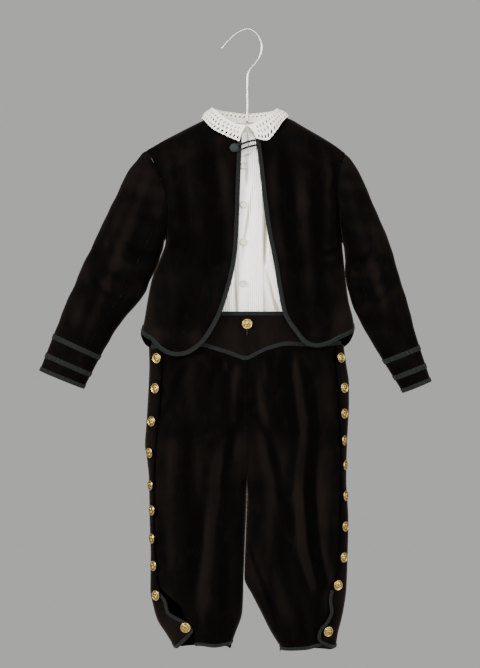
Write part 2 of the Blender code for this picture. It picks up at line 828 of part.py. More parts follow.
def leg_front(side, velvet, braid):
    sign = 1 if side == "left" else -1
    surface = leg_surface(side)

    def angles(z):
        edge = FRONT_EDGE_LEG(side, z) if z < -815 else BREECHES(side, z) * LEG_REACH
        return np.linspace(leg_shape(side, z)[2], angle_at(side, edge, z), LEG_COLUMNS)

    laid = shift(lay(surface, leg_heights(side, surface, angles), sign), y=-SEAM / 2)
    sheet(f"leg_front_{side}", laid, -VELVET, 0.0, velvet)
    band = part_of(laid, slice(-2, None), slice(None))
    sheet(f"hem_braid_{side}", band, LIE, LIE + BRAID, braid)


def lap_angles(side, surface, z):
    """The angles of a leg back's columns: the lap's braid, the lap and the back."""
    start = angle_at(side, LAP_EDGE(side, z), z)
    width = HEM_BRAID / np.linalg.norm(tangents(surface, start, z)[0])
    lap = np.linspace(start + width, 180, 5)
    behind = np.linspace(180, 360 - leg_shape(side, z)[2], 7)[1:]
    return np.concatenate(([start], lap, behind))


def leg_back(side, velvet, braid):
    """The back of a leg laps over the front down the side and ends in the knee tab."""
    sign = 1 if side == "left" else -1
    surface = leg_surface(side, folded=False)

    def angles(z):
        return lap_angles(side, surface, z)

    def lift(angle, z):
        return LAP * (1 - smoothstep((angle - LAP_ENDS) / LAP_FADE))

    laid = lay(surface, leg_heights(side, surface, angles), sign, lift)
    laid[0][:, -1, 1] += SEAM
    sheet(f"leg_back_{side}", laid, -VELVET, 0.0, velvet)
    first = LEG_ROWS.index(TAB_TOP)
    edge_out = [(i, 0) for i in range(first, len(LEG_ROWS))]
    edge_in = [(i, 1) for i in range(first, len(LEG_ROWS) - 1)] + [(len(LEG_ROWS) - 2, 1)]
    edge_out += [(len(LEG_ROWS) - 1, j) for j in range(1, laid[0].shape[1])]
    edge_in += [(len(LEG_ROWS) - 2, j) for j in range(1, laid[0].shape[1])]
    points = np.array([[laid[0][p], laid[0][q]] for p, q in zip(edge_out, edge_in)])
    normals = np.array([[laid[1][p], laid[1][q]] for p, q in zip(edge_out, edge_in)])
    sheet(f"tab_braid_{side}", (points, normals), LIE, LIE + BRAID, braid)


def gilt_buttons(gilt):
    number = 1
    for side in ("right", "left"):
        surface = leg_surface(side, folded=False)
        sign = 1 if side == "left" else -1
        for x, z in GILT_PLACES[side]:
            inset = GILT_INSET if z > TAB_TOP else TAB_INSET
            angle = min(angle_at(side, x * inset, z), GILT_FACING)
            along_u, along_v = tangents(surface, angle, z)
            normal = sign * np.cross(along_u, along_v)
            normal /= np.linalg.norm(normal)
            columns = lap_angles(side, surface, z)
            after = int(np.searchsorted(columns, angle))
            share = (angle - columns[after - 1]) / (columns[after] - columns[after - 1])
            place = surface(columns[after - 1], z) * (1 - share) + surface(columns[after], z) * share
            place += normal * (LAP + GILT_RISE)
            turned(f"gilt_button_{number:02d}", GILT_PROFILE, 8, place, normal, gilt)
            number += 1
    place = hip_surface(*WAIST_BUTTON)
    turned(f"gilt_button_{number:02d}", GILT_PROFILE, 8, place, (0, -1, 0), gilt)


# Blouse


def blouse_neckline(x, behind):
    """The neck seam of the blouse, as a place on its surface."""
    end = RIDGE("z", math.copysign(BLOUSE_NECK, x)) - BLOUSE_DROP
    depth = BACK_NECK_DEPTH if behind else FRONT_NECK_DEPTH
    z = end - depth * math.sqrt(max(1 - (x / BLOUSE_NECK) ** 2, 0.0))
    turn = turn_at(BLOUSE, x, z)
    return (180.0 - turn if behind else turn), z


def blouse_sides(side):
    sign = 1 if side == "left" else -1
    tip = abs(ARMHOLE[side][0][0]) - TIP_INSET
    shoulder = shoulder_line(side, BLOUSE_NECK, tip, BLOUSE, BLOUSE_DROP)
    points = [(x * NARROWER - sign * 4, z - 6) for x, z in ARMHOLE[side][1:-1]]
    armhole = [(turn_at(BLOUSE, x, z), z) for x, z in through(points)]
    corner = (sign * 90.0, UNDERARM[side] - 8)
    return shoulder, np.array([shoulder[-1], *armhole, corner, (sign * 90.0, BLOUSE_HEM)])


def blouse_front(side, cotton):
    sign = 1 if side == "left" else -1
    shoulder, outer = blouse_sides(side)
    edge_x = -12.0 if side == "left" else -2.0
    rows = np.array(DOWN_BACK)
    neck_xs = np.linspace(edge_x, sign * BLOUSE_NECK, 12)
    neck = np.array([blouse_neckline(x, False) for x in neck_xs])
    top = joined((neck, 6), (shoulder, 4))
    columns = even(len(top))
    centre = []
    for z in np.linspace(neck[0][1], BLOUSE_HEM, 12):
        centre.append((turn_at(BLOUSE, edge_x, z), z))
    hem = np.linspace(centre[-1], (sign * 90.0, BLOUSE_HEM), 12)
    centre = spaced(np.array(centre), rows)
    grid = patch(top, spaced(hem, columns), centre, spaced(outer, rows), columns, rows)
    grid = below_ridge(np.swapaxes(grid, 0, 1), BLOUSE, BLOUSE_DROP)

    def lift(turn, z):
        near = smoothstep((blouse_surface(turn, z)[0] - DIP_START) / DIP_FADE)
        return -BLOUSE_LAP * near if side == "right" else 0.0

    laid = on_own_side(lay(blouse_surface, grid, 1, lift), COTTON, -1)
    sheet(f"blouse_front_{side}", laid, -COTTON, 0.0, cotton)


def blouse_back(cotton):
    rows = np.array(DOWN_BACK)
    shoulder_left, outer_left = blouse_sides("left")
    shoulder_right, outer_right = blouse_sides("right")
    neck = np.array([blouse_neckline(x, True) for x in np.linspace(BLOUSE_NECK, -BLOUSE_NECK, 13)])
    for line in (shoulder_left, outer_left, shoulder_right, outer_right):
        line[:, 0] = 180.0 - line[:, 0]
    top = joined((shoulder_left[::-1], 4), (neck, 8), (shoulder_right, 4))
    columns = even(len(top))
    hem = np.array([(90 + 180 * c, BLOUSE_HEM) for c in columns])
    grid = patch(top, hem, spaced(outer_left, rows), spaced(outer_right, rows), columns, rows)
    grid = below_ridge(np.swapaxes(grid, 0, 1), BLOUSE, BLOUSE_DROP)
    laid = on_own_side(lay(blouse_surface, grid), COTTON, 1)
    sheet("blouse_back", laid, -COTTON, 0.0, cotton)


def collar(cotton):
    """A turned-down collar: up from the neck seam, over the fold and out over the jacket."""
    points = []
    for place in np.linspace(0, 14, 29):
        behind = 4 < place < 10
        x = COLLAR("edge_x", place)
        z = min(COLLAR("edge_z", place), RIDGE("z", x) - 0.05)
        turn = turn_at(JACKET, x, z)
        turn = 180.0 - turn if behind else turn
        along_u, along_v = tangents(jacket_surface, turn, z)
        normal = np.cross(along_u, along_v)
        edge = jacket_surface(turn, z) + normal / np.linalg.norm(normal) * (COTTON + COLLAR_LIE)
        base = blouse_surface(*blouse_neckline(COLLAR("base", place), behind))
        base = base + np.array((0, 0, COLLAR_STAND))
        fold = np.array([COLLAR(f"fold_{k}", place) for k in "xyz"])
        out = (edge - base) * np.array((1, 1, 0))
        out /= np.linalg.norm(out)
        inner = fold - out * FOLD_HALF
        outer = fold + out * FOLD_HALF
        top = fold + np.array((0, 0, FOLD_HALF * 0.9))
        middle = (outer + edge) / 2 + out * 1.5 + np.array((0, 0, 1.5))
        points.append((base, (base + inner) / 2, inner, top, outer, middle, edge))
    points = np.array(points)
    along = np.gradient(points, axis=0)
    across = np.gradient(points, axis=1)
    normals = np.cross(across, along)
    normals /= np.linalg.norm(normals, axis=2, keepdims=True)
    sheet("blouse_collar", (points, normals), -COTTON, 0.0, cotton)


def pearl_buttons(pearl):
    for number, (x, z) in enumerate(PEARL_PLACES, 1):
        turn = turn_at(BLOUSE, x, z)
        along_u, along_v = tangents(blouse_surface, turn, z)
        normal = np.cross(along_u, along_v)
        place = blouse_surface(turn, z) + np.array((0, -SEAM / 2, 0))
        turned(f"blouse_button_{number}", PEARL_PROFILE, 8, place, normal, pearl)


# Hanger


def hanger(wire, pad):
    route = [np.array((x, 0.0, z)) for x, z in through(WIRE_ROUTE, 2)]
    tube("hanger_hook", route, WIRE_RADIUS, 6, wire)
    points = []
    for x in np.linspace(-BAR_REACH, BAR_REACH, 17):
        slope = (RIDGE("z", x + 4) - RIDGE("z", x - 4)) / 8
        under = BLOUSE_DROP + (COTTON + BAR_LIE + BAR_RADIUS) * math.hypot(1, slope)
        level = min(RIDGE("z", x), BAR_TOP)
        points.append(np.array((x, 0.0, level - under)))
    tube("hanger_bar", points, BAR_RADIUS, 12, pad)


def main():
    clear_scene()
    velvet = material("velvet", (0.018, 0.011, 0.008), 0.75)
    braid = material("braid", (0.022, 0.024, 0.020), 0.6)
    covered = material("covered_button", (0.06, 0.065, 0.05), 0.6)
    cotton = material("cotton", (0.80, 0.76, 0.66), 0.85)
    pearl = material("pearl", (0.75, 0.70, 0.58), 0.3)
    gilt = material("gilt", (0.78, 0.54, 0.20), 0.3, 1.0)
    wire = material("steel_wire", (0.62, 0.62, 0.62), 0.3, 1.0)
    pad = material("padding_cover", (0.85, 0.84, 0.80), 0.9)
    for side in ("right", "left"):
        jacket_front(side, velvet, braid)
        sleeve(side, velvet, braid)
        leg_front(side, velvet, braid)
        leg_back(side, velvet, braid)
        blouse_front(side, cotton)
    jacket_back(velvet, braid)
    jacket_closure(braid, covered)
    waistband(velvet, braid)
    gilt_buttons(gilt)
    blouse_back(cotton)
    collar(cotton)
    pearl_buttons(pearl)
    hanger(wire, pad)


main()
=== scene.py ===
"""The looks of a boy's velvet suit on its padded hanger.

Lengths in the tables are millimetres, turned into metres when a mesh is made. X is the
wearer's left, -Y the front and Z up, as in the frame. A garment's turn angle is 0 at the
middle of its front, 90 at the wearer's left side and 180 at the middle of its back.
"""

import math

import bmesh
import bpy
import numpy as np
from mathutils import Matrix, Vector
from mathutils.geometry import delaunay_2d_cdt


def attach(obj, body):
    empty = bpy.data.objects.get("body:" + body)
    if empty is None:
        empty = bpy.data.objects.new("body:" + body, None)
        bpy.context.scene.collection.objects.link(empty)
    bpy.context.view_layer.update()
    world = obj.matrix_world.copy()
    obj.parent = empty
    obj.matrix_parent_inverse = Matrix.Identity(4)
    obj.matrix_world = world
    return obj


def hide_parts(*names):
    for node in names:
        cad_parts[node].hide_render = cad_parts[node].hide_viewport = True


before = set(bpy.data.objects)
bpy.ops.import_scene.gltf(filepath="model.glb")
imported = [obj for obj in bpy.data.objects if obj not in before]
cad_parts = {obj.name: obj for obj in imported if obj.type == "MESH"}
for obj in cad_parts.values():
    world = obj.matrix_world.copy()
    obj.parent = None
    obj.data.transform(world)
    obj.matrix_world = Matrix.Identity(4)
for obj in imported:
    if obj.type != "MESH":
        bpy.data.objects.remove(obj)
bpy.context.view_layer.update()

MM = 0.001

# Cloth, braid and the gaps between sewn pieces
VELVET = 2.0
COTTON = 1.2
BRAID = 0.9
LIE = 0.35
SEAM = 0.12
SEAM_SINK = 0.5
OVAL = 0.75

# Jacket
BINDING = 6.5
ROUNDING = 50.0
JACKET_NECK = 54.5
BACK_NECK_DROP = 13.0
NECK_BEND = (13.0, -151.0)
HEM_BEND = (82.0, -6.0)
CUFF_BRAID = 7.5
CUFF_BINDING = 6.5
SLEEVE_SEAM = 118.0
SLEEVE_GAP = 0.25
ARMHOLE_SEAM = 0.3

# Breeches
WAIST_TOP = -422.5
WAIST_SEAM = 0.3
WAIST_BRAID = 6.0
HEM_BRAID = 5.0
HEM = -920.0
FORK_TOP = -600.0
FORK = -690.0
LAP = 4.0
LAP_ENDS = 182.0
LAP_FADE = 34.0
LEG_TOP = -478.0
LEG_REACH = 0.985
TAB_TOP = -838.0
BACK_LOWER = 7.0

# Blouse
BLOUSE_NECK = 47.0
BLOUSE_DROP = 4.2
BLOUSE_HEM = -465.0
BLOUSE_LAP = 2.0
DIP_START = -28.0
DIP_FADE = 14.0
FRONT_NECK_DEPTH = 24.0
BACK_NECK_DEPTH = 8.0
NARROWER = 0.94
TIP_INSET = 22.0
FOLD_HALF = 2.0
COLLAR_STAND = 1.9
COLLAR_LIE = 2.2

# Buttons and hanger
GILT_RADIUS = 7.8
GILT_FACING = 160.0
GILT_LEAN = 12.0
PATTERN_DEPTH = 0.9
GILT_INSET = 0.96
TAB_INSET = 0.98
PEARL_RADIUS = 5.1
COVERED_RADIUS = 6.5
WIRE_RADIUS = 1.7
BAR_RADIUS = 11.0
BAR_LIE = 0.7
BAR_TOP = -134.0
BAR_REACH = 102.0
LOOP_RADIUS = 1.5
BUTTONHOLE = (-448.0, -458.0)
STITCH_RADIUS = 0.8

# Small forms of the surfaces, seams, braids and rods
SIGN = {"right": -1, "left": 1}
TINY = 1e-9
SMALL_TURN = 0.25
SHOULDER_COLUMNS = 40
ARMHOLE_RISE = 0.5
SLEEVE_OVAL = 0.85
SLEEVE_FADES = (0.35, 0.25)
SLEEVE_SMOOTHING = 30
LAST_RING = 7
CUFF_ROWS = (7, 8)
EDGE_FADE = 0.05
LEG_EDGE_FADE = 0.04
CREASE_ENDS = 0.12
CREASE_POWER = 0.8
FLAT_RELIEF = 0.5
BRAID_CORD = 0.25
BRAID_CORD_PLACE = 0.78
BRAID_CORD_WIDTH = 0.16
BRAID_EDGE = 0.5
BRAID_EDGE_PLACE = 0.97
TIP = 0.6

# Fades down the legs
WAIST_LEVEL = -475.0
WAIST_BACK = -476.0
TOP_FADE = 60.0
HEM_FADE = 40.0
BACK_FADE = 30.0
SEAT_START = 190.0
TAB_START = -815
SEAM_SINK_FADE = 40.0
FOLD_FADE = 40.0

# Small forms of the blouse and its collar
BLOUSE_EDGE = {"right": -2.0, "left": -12.0}
ARMHOLE_IN = 4.0
ARMHOLE_DOWN = 6.0
UNDERARM_DOWN = 8.0
TUCK_HEIGHT = 1.1
TUCK_WIDTH = 0.7
PLEAT_STEP = 1.2
TUCK_TOP = -158.0
TUCK_FADE = 12.0
TUCK_END = 20.0
COLLAR_BELOW_RIDGE = 0.05
FOLD_TOP = 0.9
COLLAR_ROLL = 1.5
COLLAR_STEP = 1.2
COLLAR_CELL = 2.4
COLLAR_START = (1.5, 1.2)
COLLAR_MARGIN = 2.2
COLLAR_END_STEPS = 30
COLLAR_WAVE = 0.5
COLLAR_WAVES = 4.1
COLLAR_WAVE_START = 0.7
LAST_PLACE = 14
EYELET_UNEVEN = 0.25
EYELET_PHASE = 2.3
CLOSE = 1e-4
EYELET_SPOKES = 12
EYELET_CLEAR = 1.8
EYELET_RINGS = ((1.0, 0.10), (1.30, 0.42), (1.7, 0.0))

# Profiles of the buttons; a ring is its height, radius and width
GILT_TOP = 4.0
GILT_FALL = 1.1
GILT_RIM = (0.55, 6.9, 0.55)
GILT_CORD = 0.18
GILT_CORD_COUNT = 30
GILT_RING = (0.28, 5.3, 0.30)
GILT_PETALS = (0.55, 2.7, 1.25)
GILT_PETAL_COUNT = 6
GILT_VEINS = (0.22, 3.6, 0.7)
GILT_EYE = (0.5, 0.0, 0.95)
GILT_PETAL_POWER = 0.7
GILT_VEIN_POWER = 3
GILT_RINGS = 26
GILT_SPOKES = 60
GILT_BACK = ((GILT_RADIUS - 0.4, 2.2), (2.2, 1.9), (2.2, 0.0))
COVERED_TOP = 6.6
COVERED_FALL = 2.4
COVERED_THREAD = 0.22
COVERED_TURNS = 6
COVERED_TWIST = 3.2
COVERED_RINGS = 18
COVERED_BACK = ((COVERED_RADIUS - 0.3, 3.3), (2.2, 3.0), (2.0, 0.0))
PEARL_TOP = 1.3
PEARL_RIM = (0.7, 4.2, 0.6)
PEARL_ROUND = 0.55
PEARL_ROUND_START = 4.5
PEARL_ROUND_WIDTH = 0.7
PEARL_HOLE = 0.9
PEARL_HOLE_SIZE = 0.16
PEARL_HOLE_DEPTH = 0.9
PEARL_LIE = 0.8
PEARL_RINGS = 32
PEARL_BACK = ((PEARL_RADIUS - 0.4, 0.5), (1.8, 0.0))
THREAD_RISE = 0.75
THREAD_RADIUS = 0.28
THREAD_OUT = 1.0
THREAD_PLACES = 9
THREAD_SIDES = 8
PEARL_SPOKES = 64
BAR_PLACES = 181
BAR_SMOOTHING = 6
BAR_END = 0.97
BAR_SIDES = 36
BAR_SOFTER = 0.5
BAR_GATHERS = ((0.25, 1.1, 0.0), (0.2, 0.63, 1.0))
SLOPE_STEP = 4.0
WIRE_SIDES = 20
LOOP_SIDES = 10
STITCH_PLACES = 16


class Table:
    """A short table with named columns, read smoothly along its first one."""

    def __init__(self, columns, *rows):
        self.names = columns.split()
        self.rows = np.array(sorted(rows), float)

    def __call__(self, name, at):
        place = self.rows[:, 0]
        value = self.rows[:, self.names.index(name)]
        steps = np.diff(value) / np.diff(place)
        slopes = np.concatenate((steps[:1], np.zeros(len(steps) - 1), steps[-1:]))
        before, after = steps[:-1], steps[1:]
        same = before * after > 0
        total = np.where(same, before + after, 1.0)
        slopes[1:-1] = np.where(same, 2 * before * after / total, 0.0)
        i = np.clip(np.searchsorted(place, at) - 1, 0, len(place) - 2)
        span = place[i + 1] - place[i]
        t = np.clip((at - place[i]) / span, 0.0, 1.0)
        return (
            value[i] * (1 + 2 * t) * (1 - t) ** 2
            + span * slopes[i] * t * (1 - t) ** 2
            + value[i + 1] * t * t * (3 - 2 * t)
            + span * slopes[i + 1] * t * t * (t - 1)
        )


# Half sections of the jacket's body: its two sides, and how deep it is in front and behind
JACKET = Table(
    "z right left front back",
    (-120, -150, 150, 36, 34),
    (-182, -151, 150, 40, 38),
    (-220, -141, 152, 44, 42),
    (-256, -134, 151, 47, 45),
    (-288, -127, 147, 49, 47),
    (-315, -122, 142.5, 51, 49),
    (-345, -131, 145, 52, 50),
    (-375, -143, 148, 54, 51),
    (-405, -149, 152, 55, 52),
    (-440, -155, 160, 56, 53),
    (-460, -160, 161, 57, 54),
    (-495, -160, 161, 57, 55),
)
BLOUSE = Table(
    "z right left front back",
    (-120, -140, 140, 33, 31),
    (-182, -138, 138, 31, 30),
    (-256, -122, 134, 41, 39),
    (-315, -115, 134, 45, 43),
    (-345, -121, 137, 46, 44),
    (-375, -129, 138, 45, 43),
    (-400, -130, 133, 41.8, 41.4),
    (-428, -133.0, 131.0, 40.4, 40.8),
    (-478, -138.0, 136.5, 43.4, 44.9),
)
BREECHES = Table(
    "z right left front back",
    (-425, -138, 136, 44, 44),
    (-478, -143, 141.5, 47, 48),
    (-502, -142.5, 145, 49, 54),
    (-532, -143.5, 149, 52, 60),
    (-560, -145, 149, 54, 63),
    (-592, -147, 147.5, 56, 64),
    (-622, -149, 146, 55, 62),
    (-646, -145.5, 145.3, 53, 59),
    (-675, -143, 145, 50, 54),
    (-735, -142, 148, 45, 48),
    (-787, -140.5, 147, 42, 44),
    (-838, -141, 145, 40, 41),
    (-861, -137, 142, 39, 40),
    (-882, -131, 138, 37, 38),
    (-901, -119, 133, 35, 36),
    (-925, -104, 129, 34, 34),
)
INSEAM = Table(
    "z right left",
    (-425, -0.06, 0.06),
    (-690, -0.12, 0.12),
    (-760, -2.6, -2.1),
    (-821, -5, -4),
    (-847, -6, 8),
    (-873, -8, 21),
    (-901, -17, 35),
    (-925, -25, 50),
)

# Seen from the front: shoulder ridge, armholes and the edges of each piece
RIDGE = Table(
    "x z",
    (-151, -181), (-110, -158), (-66, -136), (-52, -130), (-30, -122), (0, -119),
    (30, -121), (48, -127), (60, -132), (97, -152), (130, -172), (150, -187),
)
ARMHOLE = {
    "right": ((-149, -181), (-138, -203), (-124, -234), (-118, -258), (-117, -288), (-122, -315)),
    "left": ((147, -186), (139, -209), (135, -236), (136, -262), (139, -292), (142.5, -320)),
}
UNDERARM = {"right": -315.0, "left": -320.0}
FRONT_EDGE = {
    "right": (
        (-8, -162), (-8.5, -188), (-10, -226), (-12, -284), (-15, -336), (-21, -370), (-29, -399),
        (-39, -428), (-55, -457), (-68, -473), (-85, -485), (-101, -489), (-116, -487),
        (-130, -479), (-143, -465),
    ),
    "left": (
        (11, -162), (15, -183), (20, -226), (24.5, -265), (30.5, -307), (39, -349), (45.5, -389),
        (52, -422), (59.5, -439), (69, -452), (80, -466), (92, -474), (106, -476), (122, -472),
        (139, -463),
    ),
}
SIDE_HEM = {"right": -448.0, "left": -446.0}
BACK_HEM = Table(
    "turn z",
    (90, -446), (110, -472), (130, -485), (180, -489), (230, -485), (250, -474), (270, -448),
)
WAIST_SEAM_LINE = Table(
    "x z",
    (-146, -479), (-100, -475), (-66, -475), (-48, -480), (-29, -485.5), (-1, -494.5), (12, -488.5),
    (33, -479), (61, -473), (104, -475), (142, -472),
)
FRONT_EDGE_LEG = Table(
    "z right left",
    (-815, -138, 144), (-832, -130, 140), (-840, -123, 137), (-862, -98, 132),
    (-878, -92, 126), (-900, -82, 121), (-925, -75, 118),
)
LAP_EDGE = Table(
    "z right left",
    (-470, -124, 130), (-560, -129, 136), (-640, -135, 138), (-740, -136, 137),
    (-801, -133.5, 135), (-837, -129, 127), (-850, -119, 124.5), (-868, -114, 126),
    (-878, -98, 123), (-887, -84, 118), (-897, -80, 110), (-908, -88, 108), (-920, -102, 124),
)
HEM_LINE = {
    "right": Table("x z", (-107, -923), (-72, -919), (-48, -922), (-24, -919)),
    "left": Table("x z", (50, -928), (86, -925), (117, -919), (132, -919)),
}
# Sleeves: the outer and inner edge of each ring, its half depth and its lean to the body
SLEEVE = {
    "right": Table(
        "ring outer_x outer_z inner_x inner_z depth lean",
        (1, -157, -184, -124.3, -318, 29, 13),
        (2, -178, -211, -125.4, -324, 31, 6),
        (3, -214, -285, -131, -342, 31, 0),
        (4, -243, -346, -149.5, -386, 29, 0),
        (4.5, -254, -371, -164, -413, 27.5, 0),
        (5, -266, -397, -186, -433, 26, 0),
        (6, -288, -452, -217, -485, 23, 0),
        (7, -311, -511, -245, -538, 20, 0),
    ),
    "left": Table(
        "ring outer_x outer_z inner_x inner_z depth lean",
        (1, 155, -192, 145, -323, 29, -10),
        (2, 174, -225, 146, -330, 31, -5),
        (3, 200, -284, 148, -354, 31, 0),
        (4, 221, -342, 152, -390, 29, 0),
        (4.5, 229.5, -371, 156.5, -411, 27.5, 0),
        (5, 238, -400, 166, -431, 26, 0),
        (6, 253, -456, 194, -480, 23, 0),
        (7, 276, -527, 234, -544, 20, 0),
    ),
}
CUFF_RINGS = {"right": (6.06, 6.54), "left": (6.25, 6.62)}
CUFF_LENGTH = {"right": 61.0, "left": 75.0}

# Collar, all round from the wearer's right front: fold, outer edge and neck seam
COLLAR = Table(
    "place fold_x fold_y fold_z edge_x edge_z base",
    (0, -1.5, -44, -149.5, -11.5, -171, -1),
    (1, -16, -42, -146.5, -30.5, -163, -17),
    (2, -34, -33, -136, -50, -153, -34),
    (3, -47, -18, -124.5, -59, -144, -44),
    (4, -53, 2, -118.5, -66, -136, -47),
    (5, -44, 22, -120, -58, -142, -41),
    (6, -23, 33, -122.5, -32, -150, -22),
    (7, 0, 36, -124.5, 0, -153, 0),
    (8, 23, 33, -123, 32, -150, 22),
    (9, 41, 22, -121, 54, -141, 41),
    (10, 46, 2, -119.5, 60.5, -133, 47),
    (11, 41, -18, -125, 52, -142, 44),
    (12, 31, -33, -132.5, 43.5, -154.5, 34),
    (13, 16, -42, -143, 29, -169.5, 17),
    (14, 1.5, -44, -149.5, 13, -166.5, 1),
)

# Largest folds of the breeches' fronts: a line down each, how wide it is and how far it stands out
FOLDS = {
    "left": (
        (Table("z x", (-500, 71), (-558, 78), (-606, 83), (-675, 78), (-760, 82), (-835, 100)), 9, 4),
        (Table("z x", (-520, 92), (-606, 99), (-675, 94), (-760, 98), (-835, 116)), 9, -5),
    ),
    "right": (
        (Table("z x", (-640, -42), (-720, -50), (-860, -66)), 14, 4),
        (Table("z x", (-500, -96), (-548, -119), (-580, -132)), 9, -4),
    ),
}

GILT_PLACES = {
    "right": (
        (-136, -492), (-138, -537), (-143, -586), (-146, -632), (-144, -681), (-142, -718),
        (-142, -760), (-140, -801), (-134, -844), (-92, -890),
    ),
    "left": (
        (142, -492), (146, -536), (147, -574), (148, -614), (148, -651), (147, -697),
        (147, -742), (145, -788), (137, -829), (120, -897),
    ),
}
WAIST_BUTTON = (0, -441)
PEARL_PLACES = ((-5, -207), (-5.5, -265), (-5.5, -320), (-5.5, -381))
COVERED_BUTTON = (-19, -180.5)

WIRE_ROUTE = (
    (-38, -28), (-28, -16), (-15, -4.5), (0, 1.7), (10, -2), (17, -9.5), (21.5, -20), (22, -29),
    (19, -40), (13, -49), (6, -57.5), (1.5, -66), (0.5, -77), (0.5, -107), (0.5, -139.7),
)

LOOP_ROUTE = (
    (14, -168.5), (2, -171), (-8, -174.5), (-15.5, -176), (-23, -177.3), (-24.6, -180.8),
    (-22, -184.6), (-15.5, -185), (-8, -182.5), (2, -179), (14, -176),
)

# How finely each piece is made
FRONT_ROWS = 130
FRONT_COLUMNS = 56
BACK_ROWS = 110
SLEEVE_ROWS = 90
TOP_COLUMNS = 64
UNDER_COLUMNS = 32
LEG_ROWS = 130
LEG_FRONT_COLUMNS = 64
LAP_COLUMNS = 22
LEG_BACK_COLUMNS = 64
WAIST_ROWS = 16
WAIST_COLUMNS = 60
BLOUSE_ROWS = 110
NECK_COLUMNS = 92
PLAIN_COLUMNS = 16
CENTRE_PLACES = 60
NECK_PLACES = 49
DROP_PLACES = 33
JACKET_BACK_COLUMNS = (36, 48)
BLOUSE_BACK_COLUMNS = (30, 40)
BAND = 7
CROWD = 1.7

# Creases and ridges: a line seen from the front, its width and its height
JACKET_CREASES = {
    "right": (
        (((-134, -232), (-120, -262), (-112, -312)), 7, 1.8),
        (((-108, -196), (-101, -262), (-94, -330)), 10, -1.6),
        (((-92, -190), (-80, -290), (-74, -380), (-72, -452)), 15, 2.2),
        (((-60, -178), (-48, -250), (-46, -340)), 12, -1.3),
        (((-120, -330), (-110, -390), (-112, -455)), 9, 1.5),
        (((-40, -168), (-30, -240), (-32, -330), (-46, -400)), 10, 1.0),
        (((-138, -300), (-122, -318), (-104, -322)), 4, -1.2),
    ),
    "left": (
        (((130, -205), (133, -245), (135, -300), (137, -350)), 6, -2.4),
        (((118, -192), (121, -262), (119, -340)), 9, 2.0),
        (((100, -180), (104, -290), (108, -380), (112, -450)), 14, -1.4),
        (((78, -172), (84, -270), (92, -370), (96, -450)), 13, 1.7),
        (((52, -170), (60, -260), (70, -350)), 10, -1.2),
        (((36, -176), (44, -280), (58, -390)), 9, 1.0),
        (((142, -322), (126, -334), (110, -336)), 4, -1.2),
    ),
}
BACK_CREASES = (
    (((-128, -215), (-112, -290), (-106, -380)), 10, 1.9),
    (((-92, -185), (-78, -300), (-76, -440)), 15, -1.5),
    (((-46, -160), (-38, -290), (-42, -430)), 16, 1.6),
    (((8, -150), (4, -300), (10, -450)), 14, -1.2),
    (((52, -165), (58, -300), (54, -440)), 15, 1.7),
    (((96, -190), (92, -310), (98, -440)), 12, -1.5),
    (((126, -220), (120, -300), (118, -390)), 9, 1.8),
    (((-120, -330), (-80, -345), (-30, -338)), 6, -0.9),
    (((124, -350), (84, -362), (40, -352)), 6, -0.9),
)
SLEEVE_CREASES = {
    "right": (
        (((-148, -225), (-172, -290), (-205, -370), (-232, -440)), 9, 1.8),
        (((-132, -336), (-156, -338), (-184, -322)), 6, -2.0),
        (((-138, -352), (-164, -358), (-196, -344)), 6, 1.7),
        (((-148, -378), (-178, -380), (-212, -362)), 7, -1.9),
        (((-164, -400), (-190, -398), (-216, -384)), 6, 1.4),
        (((-176, -222), (-204, -285), (-228, -340)), 8, -1.2),
        (((-232, -372), (-214, -392), (-190, -404)), 6, -1.1),
        (((-240, -400), (-262, -450)), 9, 1.0),
        (((-126, -326), (-133, -346), (-152, -388)), 8, 0.9),
    ),
    "left": (
        (((152, -235), (168, -300), (190, -370), (214, -440)), 9, 1.8),
        (((150, -348), (168, -346), (190, -330)), 6, -2.0),
        (((152, -366), (174, -368), (198, -350)), 6, 1.6),
        (((158, -392), (180, -390), (208, -374)), 7, -1.8),
        (((168, -420), (190, -414), (216, -404)), 6, 1.3),
        (((176, -240), (196, -300), (212, -350)), 8, -1.2),
        (((214, -380), (202, -400), (186, -414)), 6, -1.0),
        (((222, -410), (236, -455)), 9, 1.0),
        (((147, -334), (149, -356), (154, -394)), 8, 1.4),
    ),
}
LEG_CREASES = {
    "right": (
        (((-93, -494), (-111, -524), (-119, -548), (-129, -569)), 7, 1.4),
        (((-33, -487), (-32, -512)), 4, 1.5),
        (((-52, -484), (-54, -540)), 5, -1.1),
        (((-14, -492), (-20, -560), (-16, -640)), 7, 1.5),
        (((-8, -560), (-30, -640), (-40, -700)), 7, -1.5),
        (((-47, -675), (-56, -750), (-65, -829)), 10, 1.5),
        (((-84, -600), (-90, -700), (-88, -800)), 12, -1.5),
        (((-112, -620), (-116, -720), (-112, -800)), 9, 1.3),
        (((-136, -720), (-133, -780), (-124, -846)), 3, 0.6),
        (((-28, -760), (-34, -850), (-40, -905)), 8, -1.1),
        (((-70, -860), (-62, -905)), 8, 1.2),
        (((-5, -640), (-9, -760), (-10, -860)), 4, -0.7),
    ),
    "left": (
        (((52, -484), (50, -545)), 5, -1.2),
        (((24, -486), (28, -530)), 5, 1.1),
        (((14, -500), (22, -580), (24, -650)), 8, 1.4),
        (((8, -560), (36, -630), (50, -700)), 7, -1.6),
        (((70, -478), (77, -560), (83, -606)), 4, 1.4),
        (((118, -500), (122, -620), (116, -740)), 11, 1.3),
        (((46, -700), (50, -780), (66, -860)), 11, -1.4),
        (((-3, -757), (16, -810), (37, -865), (45, -900)), 4, -0.8),
        (((110, -770), (118, -830), (112, -890)), 8, 1.2),
        (((76, -850), (84, -905)), 7, -1.0),
    ),
}
